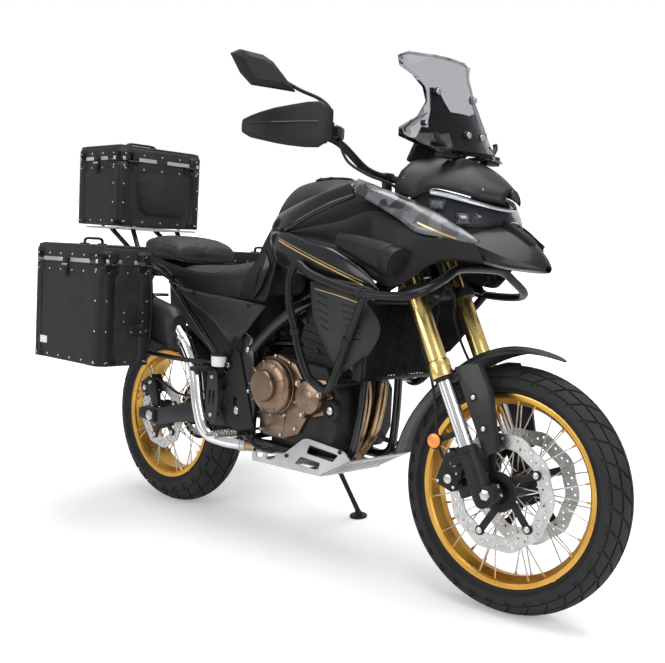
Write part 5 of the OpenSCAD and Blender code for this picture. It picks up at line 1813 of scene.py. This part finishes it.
# %% Swingarm, chain, sprocket and shock
def swingarm():
    bm, blocks, nuts = bmesh.new(), bmesh.new(), bmesh.new()
    plate(bm, [(-62, 300), (-62, 345), (40, 352), (200, 394), (440, 455), (520, 440), (528, 385), (420, 345),
               (200, 328), (30, 290)], 104, 130, 6, 3)
    plate(blocks, [(-66, 304), (-66, 341), (26, 344), (30, 298)], 129, 138, 3, 2)
    for x in (-54, -30):
        disc(blocks, (x, 138, 322), 4, 4, "Y", 6, 0.6)
    disc(nuts, (0, 139, REAR_R), 20, 5, "Y", 6, 1.5)
    disc(nuts, (0, 142, REAR_R), 13, 6, bevel=1.5)
    disc(nuts, (-70, 117, 322), 6, 12, "X", 6, 1)
    for b in (bm, blocks, nuts):
        both(b)
    block(bm, (60, 206, 52), (430, 0, 397), None, 8, 3)
    disc(bm, (490, 0, 410), 14, 300, bevel=1)
    on_frame("swingarm_beams", bm, grey_satin, "swingarm", True)
    on_frame("chain_adjusters", blocks, cast_black, "swingarm")
    on_frame("rear_axle_nuts", nuts, steel, "swingarm")


def chain():
    rear, front, big, small = Vector((0, 0, REAR_R)), Vector((540, 0, 400)), 100.5, 39
    way = front - rear
    tilt, spread = math.atan2(way.z, way.x), math.acos((big - small) / way.length)
    corners = []
    for k in range(31):
        a = tilt + spread + (2 * math.pi - 2 * spread) * k / 30
        corners.append(rear + big * Vector((math.cos(a), 0, math.sin(a))))
    for k in range(16):
        a = tilt - spread + 2 * spread * k / 15
        corners.append(front + small * Vector((math.cos(a), 0, math.sin(a))))
    corners.append(corners[0])
    total = sum((b - a).length for a, b in zip(corners, corners[1:]))
    links = round(total / 15.9 / 2) * 2
    spots, walked, want = [], 0, 0
    for a, b in zip(corners, corners[1:]):
        step = (b - a).length
        while want <= walked + step and len(spots) < links:
            spots.append(a.lerp(b, (want - walked) / step))
            want += total / links
        walked += step
    bm = bmesh.new()
    for k, p in enumerate(spots):
        q = spots[(k + 1) % links]
        turn = spun(-math.atan2((q - p).z, (q - p).x))
        for s in (1, -1):
            side = Vector((0, 88 + s * (5.4 if k % 2 else 3.6), 0))
            block(bm, ((q - p).length + 8, 1.4, 9), (p + q) / 2 + side, turn)
        disc(bm, p + Vector((0, 88, 0)), 3.2, 13, sides=10)
    on_frame("drive_chain", bm, cast_black, "chain", True)
    small_wheel = bmesh.new()
    disc(small_wheel, (540, 88, 400), 33, 8, sides=32, bevel=1)
    bar(small_wheel, (540, 80, 400), (592, 80, 414), 9)
    on_frame("drive_sprocket", small_wheel, steel, "chain")


def sprocket():
    teeth = 42
    outline = []
    for k in range(teeth * 4):
        a = 2 * math.pi * k / (teeth * 4)
        r = (90, 92.5, 95.8, 92.5)[k % 4]
        outline.append((r * math.cos(a), r * math.sin(a)))
    windows = []
    for k in range(6):
        mid = 60 * k
        arc = [(78, mid + d) for d in (-20, -10, 0, 10, 20)] + [(54, mid + d) for d in (14, 0, -14)]
        windows.append([(r * math.cos(math.radians(a)), r * math.sin(math.radians(a))) for r, a in arc])
    bore = [(32 * math.cos(2 * math.pi * k / 40), 32 * math.sin(2 * math.pi * k / 40)) for k in range(40)]
    bm = pierced(bmesh.new(), [outline] + windows + [bore], lambda u, v: (u, 91, v), 6)
    bmesh.ops.translate(bm, verts=bm.verts, vec=(0, 88 - sum(v.co.y for v in bm.verts) / len(bm.verts), 0))
    finish_piece("rear_sprocket", bm, "rear_wheel", REAR_WHEEL, steel, "rear_rim", smooth=20)
    drum, nuts = bmesh.new(), bmesh.new()
    turned(drum, [(30, 64), (44, 64), (46, 68), (46, 82), (43, 84.5), (30, 84.5)], 48, closed=True)
    for k in range(6):
        a = 2 * math.pi * (k + 0.5) / 6
        disc(nuts, (42 * math.cos(a), 93, 42 * math.sin(a)), 6, 5, "Y", 6, 1)
    finish_piece("sprocket_drum", drum, "rear_wheel", REAR_WHEEL, cast_black, "rear_rim")
    finish_piece("sprocket_nuts", nuts, "rear_wheel", REAR_WHEEL, steel, "rear_rim")


def shock():
    low, high = Vector((441, 0, 412)), Vector((512, 0, 660))
    way = (high - low).normalized()
    out = way.cross(Vector((0, 1, 0)))
    body, coil = bmesh.new(), bmesh.new()
    stem(body, low, [(0, 11), (30, 11), (36, 26), (42, 26), (46, 16), (200, 16), (206, 28), (222, 28),
                     (226, 14), (257, 11)],
         way, 32)
    turns = [low + way * (44 + 160 * k / 112) + 23 * (math.cos(k * math.pi / 8) * out
                                                      + math.sin(k * math.pi / 8) * Vector((0, 1, 0)))
             for k in range(113)]
    tube(coil, turns, 5, 10)
    for p in (low, high):
        disc(body, p, 16, 30, bevel=2)
    on_frame("shock_body", body, cast_black, "rear_shock", True)
    on_frame("shock_spring", coil, grey_satin, "rear_shock", smooth=60)


def rear_caliper():
    cast, bright = caliper((-58, 86, 420), 59.6, 17, 5.5, 0.82)
    plate(cast, [(-20, 352), (20, 352), (-10, 440), (-60, 420)], 104, 114, 3, 2)
    hose = bmesh.new()
    tube(hose, path([(-20, 100, 452), (60, 118, 440), (180, 136, 420), (320, 136, 440), (420, 140, 500)], 5),
         4, 10)
    for bm in (cast, bright, hose):
        bmesh.ops.scale(bm, vec=(1, -1, 1), verts=bm.verts)
        bmesh.ops.reverse_faces(bm, faces=bm.faces[:])
    on_frame("rear_brake_caliper", cast, cast_black, "rear_caliper", True)
    on_frame("rear_caliper_bolts", bright, steel, "rear_caliper")
    on_frame("rear_brake_hose", hose, rubber, "rear_caliper")


swingarm()
chain()
sprocket()
shock()
rear_caliper()

# %% [markdown]
# The tail is a slim moulding with a lamp at its end, and an arm below it carries a blank
# plate. The rack is welded tube with a slotted plate on top for the case, and a hoop on
# each side for the pannier.

# %% Tail and rack
red_lens = finish("red_lens", (0.42, 0.012, 0.01), (0.55, 0.02, 0.015), (0.1, 0.18), 0, 30, 500, 0.6, coat=1,
                  depth=0.001, pattern="F1")


def tail():
    bm, lamp, sign, ears = (bmesh.new() for _ in range(4))
    rings = [oval(*s, 0, 2 / 3, 24) for s in ((-198, 56, 884, 921), (-186, 70, 876, 924),
                                              (-150, 79, 869, 925),
                                           (-124, 81, 860, 881), (-60, 83, 859, 879), (40, 90, 850, 869))]
    rows(bm, rings)
    block(lamp, (8, 92, 26), (-199, 0, 903), None, 4, 3)
    tube(bm, path([(-165, 0, 878), (-240, 0, 780), (-300, 0, 692), (-316, 0, 650)], 4), 15, 16, flat=0.7)
    turn = spun(math.radians(20))
    block(bm, (8, 188, 128), (-348, 0, 611), turn, 4)
    block(sign, (2.5, 172, 108), Vector((-348, 0, 611)) + turn @ Vector((-5, 0, 0)), turn, 1)
    bar(bm, (-200, -60, 820), (-200, 60, 820), 8)
    for s in (1, -1):
        block(ears, (22, 46, 20), (-204, s * 72, 820), None, 7, 3)
    on_frame("tail_moulding", bm, plastic, "tail", True)
    on_frame("tail_lamp", lamp, red_lens, "tail")
    on_frame("rear_indicators", ears, amber, "tail")
    on_frame("blank_number_plate", sign, sticker, "tail")


def rack():
    top, bm, studs = bmesh.new(), bmesh.new(), bmesh.new()
    outline = [(-432, -150), (-418, -163), (-164, -163), (-151, -150), (-151, 150), (-164, 163), (-418, 163),
               (-432, 150)]
    slots = [eased([(x, -y0), (x + 34, -y0), (x + 34, -y1), (x, -y1)], 6) for x in (-400, -320, -240)
             for y0, y1 in ((130, 30), (-30, -130))]
    pierced(top, [outline] + slots, lambda u, v: (u, v, 989), 6)
    bar(bm, (-200, 100, 984), (-134, 106, 880), 9)
    bar(bm, (-340, 100, 984), (-142, 106, 874), 9)
    tube(bm, path([(100, 126, 806), (70, 190, 846), (0, 258, 862), (-130, 264, 856), (-148, 264, 740),
                   (-135, 264, 570), (0, 264, 556), (140, 264, 566), (162, 264, 720),
                   (150, 264, 850)], 5), 8, 14)
    tube(bm, path([(140, 262, 568), (290, 236, 560), (400, 188, 556), (462, 169, 556)], 5), 8, 14)
    bar(bm, (-122, 112, 878), (-128, 262, 856), 7)
    for p in ((462, 167, 556), (100, 124, 806), (-142, 106, 874)):
        disc(studs, p, 9, 12, "Y", 6, 1)
    for x in (-400, -190):
        disc(studs, (x, 100, 993), 7, 5, "Z", 6, 1)
    both(bm)
    both(studs)
    on_frame("rack_tubes", bm, bar_black, "luggage_rack", True, smooth=50)
    on_frame("rack_plate", top, sheet_silver, "luggage_rack", smooth=20)
    on_frame("rack_bolts", studs, steel, "luggage_rack")


tail()
rack()

# %% [markdown]
# The footrests are cast steel with a row of teeth that bite into the boot. Behind them stand
# the heel plates with punched slots. The brake pedal, its pale fluid cup and the gear
# lever follow, and the side stand carries a foot plate that lies flat on the ground.

# %% Feet and side stand
def feet():
    plates, guards, studs, pegs, levers, rubbers = (bmesh.new() for _ in range(6))
    outline = [(398, 608), (452, 616), (500, 606), (545, 480), (588, 362), (560, 337), (500, 342),
               (446, 374), (406, 424)]
    holes = [eased([(424, z), (444, z + 4), (448, z + 30), (428, z + 26)], 6) for z in (420, 468, 516, 560)]
    holes.append(eased([(486, 400), (514, 392), (506, 450), (480, 460)], 8))
    pierced(plates, [eased(outline, 8)] + holes, lambda u, v: (u, 158, v), 5)
    pierced(guards, [eased([(378, 368), (432, 360), (440, 430), (430, 534), (384, 540)], 8),
                     eased([(392, 420), (404, 420), (404, 470), (392, 470)], 5),
                     eased([(412, 420), (424, 420), (424, 470), (412, 470)], 5)],
            lambda u, v: (u, 188, v), 4)
    for z in (388, 512):
        disc(studs, (408, 189, z), 7, 6, bevel=1)
        disc(levers, (408, 174, z), 7, 28)
    bar(levers, (560, 158, 352), (560, 214, 352), 9)
    block(pegs, (42, 96, 8), (556, 262, 352), None, 3)
    for x in (537, 575):
        for k in range(8):
            block(pegs, (4, 7, 8), (x, 220 + 12 * k, 360), None, 1)
    for k in range(3):
        block(pegs, (36, 5, 7), (556, 232 + 30 * k, 359), None, 1)
    block(pegs, (30, 10, 22), (556, 212, 352), None, 3)
    bar(levers, (395, 158, 560), (395, 186, 545), 9)
    bar(levers, (470, 160, 600), (395, 163, 560), 8)
    block(rubbers, (32, 76, 14), (392, 220, 538), None, 5, 3)
    for k in range(6):
        block(rubbers, (34, 4, 16), (392, 190 + 12 * k, 538), None, 1)
    for bm in (plates, guards, studs, pegs, levers, rubbers):
        both(bm)
    tube(levers, path([(560, -172, 352), (600, -176, 330), (640, -180, 318), (700, -192, 320),
                       (740, -205, 330)], 5), 7, 14)
    block(levers, (26, 44, 8), (738, -214, 332), None, 3)
    tube(levers, path([(560, 172, 352), (640, 182, 350), (720, 205, 358)], 5), 6, 14)
    bar(rubbers, (715, 192, 358), (715, 240, 358), 9)
    cup, lid = bmesh.new(), bmesh.new()
    stem(cup, (432, -184, 548), [(0, 20), (2, 23), (34, 25)], (0, 0, 1), 28)
    stem(lid, (432, -184, 582), [(0, 26), (7, 26), (9, 22)], (0, 0, 1), 28)
    on_frame("heel_plates", plates, cast_black, "foot_controls", True, smooth=20)
    on_frame("heel_guards", guards, satin_panel, "foot_controls", smooth=20)
    on_frame("heel_guard_bolts", studs, steel, "foot_controls")
    on_frame("footrests", pegs, steel, "foot_controls")
    on_frame("pedal_and_levers", levers, bar_black, "foot_controls")
    on_frame("footrest_rubbers", rubbers, rubber, "foot_controls")
    on_frame("brake_fluid_cup", cup, sticker, "foot_controls")
    on_frame("brake_fluid_lid", lid, plastic, "foot_controls")


def stand():
    leg, spring, pad = bmesh.new(), bmesh.new(), bmesh.new()
    pivot, foot = Vector((600, 160, 292)), Vector((668, 262, 56.8))
    axis = Vector((0.12, 0.89, 0.44)).normalized()
    tube(leg, [pivot, pivot.lerp(foot, 0.25), pivot.lerp(foot, 0.8), foot], [12, 11, 10, 11], 20, flat=0.8)
    stem(leg, pivot - 12 * axis, [(0, 13), (1, 15), (23, 15), (24, 13)], axis, 24)
    stem(spring, pivot + 12 * axis, [(0, 9), (3, 9), (4, 7)], axis, 6)
    lug = pivot.lerp(foot, 0.35)
    bar(leg, lug, lug + Vector((18, 4, 6)), 5, 12)
    finish_piece("stand_leg", leg, "side_stand", UPRIGHT, bar_black, None, ["side_stand"])
    finish_piece("stand_bolt", spring, "side_stand", UPRIGHT, steel, "side_stand")
    spot = UPRIGHT @ foot
    ground = Matrix.Translation((spot.x, spot.y, 0)) @ Matrix.Scale(0.001, 4)
    stem(pad, (0, 0, 0), [(0, 27), (1.5, 30), (6, 30), (8, 28), (8.5, 14), (20, 11)], (0, 0, 1), 36)
    block(pad, (34, 5, 8), (0, 0, 10), None, 1.5)
    finish_piece("stand_foot", pad, "side_stand", ground, cast_black, "side_stand")


feet()
stand()

# %% [markdown]
# The handlebar is one tube bent up and back from its clamps. Soft ribbed grips with bar-end
# weights close its ends, and levers and switch boxes sit just inside them. One side is drawn
# and mirrored, so both hands get the same.

# %% Handlebar, levers and grips
BAR = [(978, 0, 1150), (978, 60, 1150), (965, 130, 1165), (935, 215, 1225), (900, 280, 1238),
       (825, 415, 1236)]


def handlebar():
    bm, grips, bright, levers = (bmesh.new() for _ in range(4))
    route = path(BAR, 7)
    tube(bm, route, 11, 20)
    bar(bm, (985, 40, 1060), (978, 40, 1150), 15, 24)
    block(bm, (36, 32, 26), (978, 40, 1151), None, 6, 3)
    along = Vector((-63, 109, -2)).normalized()
    stem(grips, (888, 302, 1238), [(0, 20), (3, 21), (6, 17), (110, 16), (112, 18), (116, 18)], along, 28)
    for k in range(13):
        stem(grips, Vector((888, 302, 1238)) + along * (12 + 8 * k),
             [(0, 16), (1, 17.4), (4, 17.4), (5, 16)], along, 24)
    stem(bright, (829, 404, 1236), [(0, 16), (1, 19), (22, 19.5), (25, 16)], (-0.2, 0.98, 0), 32)
    block(bm, (42, 40, 40), (908, 268, 1238), spun(-0.5, "Z"), 6, 3)
    block(bm, (50, 46, 34), (944, 250, 1246), spun(-0.4, "Z"), 6, 3)
    disc(bright, (956, 254, 1264), 5, 4, "Z", 6, 0.8)
    disc(bright, (938, 240, 1264), 5, 4, "Z", 6, 0.8)
    tube(levers, path([(950, 262, 1236), (958, 320, 1232), (936, 372, 1228), (905, 410, 1226)], 6),
         [8 - 0.12 * k for k in range(19)], 12, flat=0.7)
    for b in (bm, grips, bright, levers):
        both(b)
    bmesh.ops.remove_doubles(bm, verts=bm.verts, dist=0.1)
    on_steering("handlebar_tube", bm, STEERED, bar_black, "handlebar", True, smooth=40)
    on_steering("handlebar_grips", grips, STEERED, rubber, "handlebar")
    on_steering("bar_end_weights", bright, STEERED, steel, "handlebar")
    on_steering("hand_levers", levers, STEERED, cast_black, "handlebar")


handlebar()

# %% [markdown]
# The hand guards are bowed shells that keep wind and branches off the fingers, pulled as rings
# along the bar, with a raised spine. Each mirror is a faceted shell on a bent stalk, with its
# glass facing the rider.

# %% Hand guards and mirrors
def guards():
    bm, spine = bmesh.new(), bmesh.new()
    stations = [(796, 10, 1219, 1257, 447), (820, 11, 1207, 1266, 444), (850, 11.5, 1201, 1275, 439),
                (885, 12, 1194, 1288, 420), (915, 12, 1190, 1297, 399), (945, 11, 1189, 1309, 366),
                (968, 9, 1192, 1315, 338), (988, 6, 1216, 1297, 313)]
    rows(bm, [oval(*s, 0.67, 20) for s in stations])
    line = [(x, y + w + 0.5, (z0 + z1) / 2 + 6) for x, w, z0, z1, y in stations[1:-1]]
    tube(spine, path(line, 4), 4, 8, flat=0.5)
    lower = [(x, y + w * 0.7, z0 + (z1 - z0) * 0.14) for x, w, z0, z1, y in stations[1:-1]]
    tube(spine, path(lower, 4), 2.5, 8)
    both(bm)
    both(spine)
    on_steering("hand_guard_shells", bm, STEERED, plastic, "hand_guards", True, smooth=40)
    on_steering("hand_guard_spines", spine, STEERED, gloss, "hand_guards")


def mirrors():
    stalk, shell, glass_face = bmesh.new(), bmesh.new(), bmesh.new()
    tube(stalk, path([(948, 268, 1262), (956, 284, 1300), (940, 312, 1326), (898, 346, 1346),
                      (866, 376, 1366)], 6), 5, 14)
    stem(stalk, (948, 268, 1256), [(0, 9), (14, 9), (16, 6)], (0, 0, 1), 20)
    rim = [(886, 352, 1340), (868, 384, 1378), (850, 412, 1412), (833, 436, 1427), (798, 486, 1434),
           (784, 506, 1420), (800, 480, 1372), (818, 454, 1344), (850, 410, 1342)]
    middle = sum((Vector(p) for p in rim), Vector()) / len(rim)
    back = Vector((16, 6, 0))
    lines = [[Vector(p).lerp(middle, 0.02) + back * -0.15 for p in rim], [Vector(p) for p in rim],
             [Vector(p).lerp(middle, 0.06) + back * 0.5 for p in rim],
             [Vector(p).lerp(middle, 0.4) + back for p in rim]]
    rows(shell, lines)
    inset = [Vector(p).lerp(middle, 0.12) + back * -0.2 for p in rim]
    rows(glass_face, [inset, [p + Vector((-0.8, 0, 0)) for p in inset]])
    for b in (stalk, shell, glass_face):
        both(b)
    on_steering("mirror_stalks", stalk, STEERED, bar_black, "mirrors", True, smooth=50)
    on_steering("mirror_shells", shell, STEERED, plastic, "mirrors", smooth=14, bevel=1.2)
    on_steering("mirror_glasses", glass_face, STEERED, chrome, "mirrors")


guards()
mirrors()
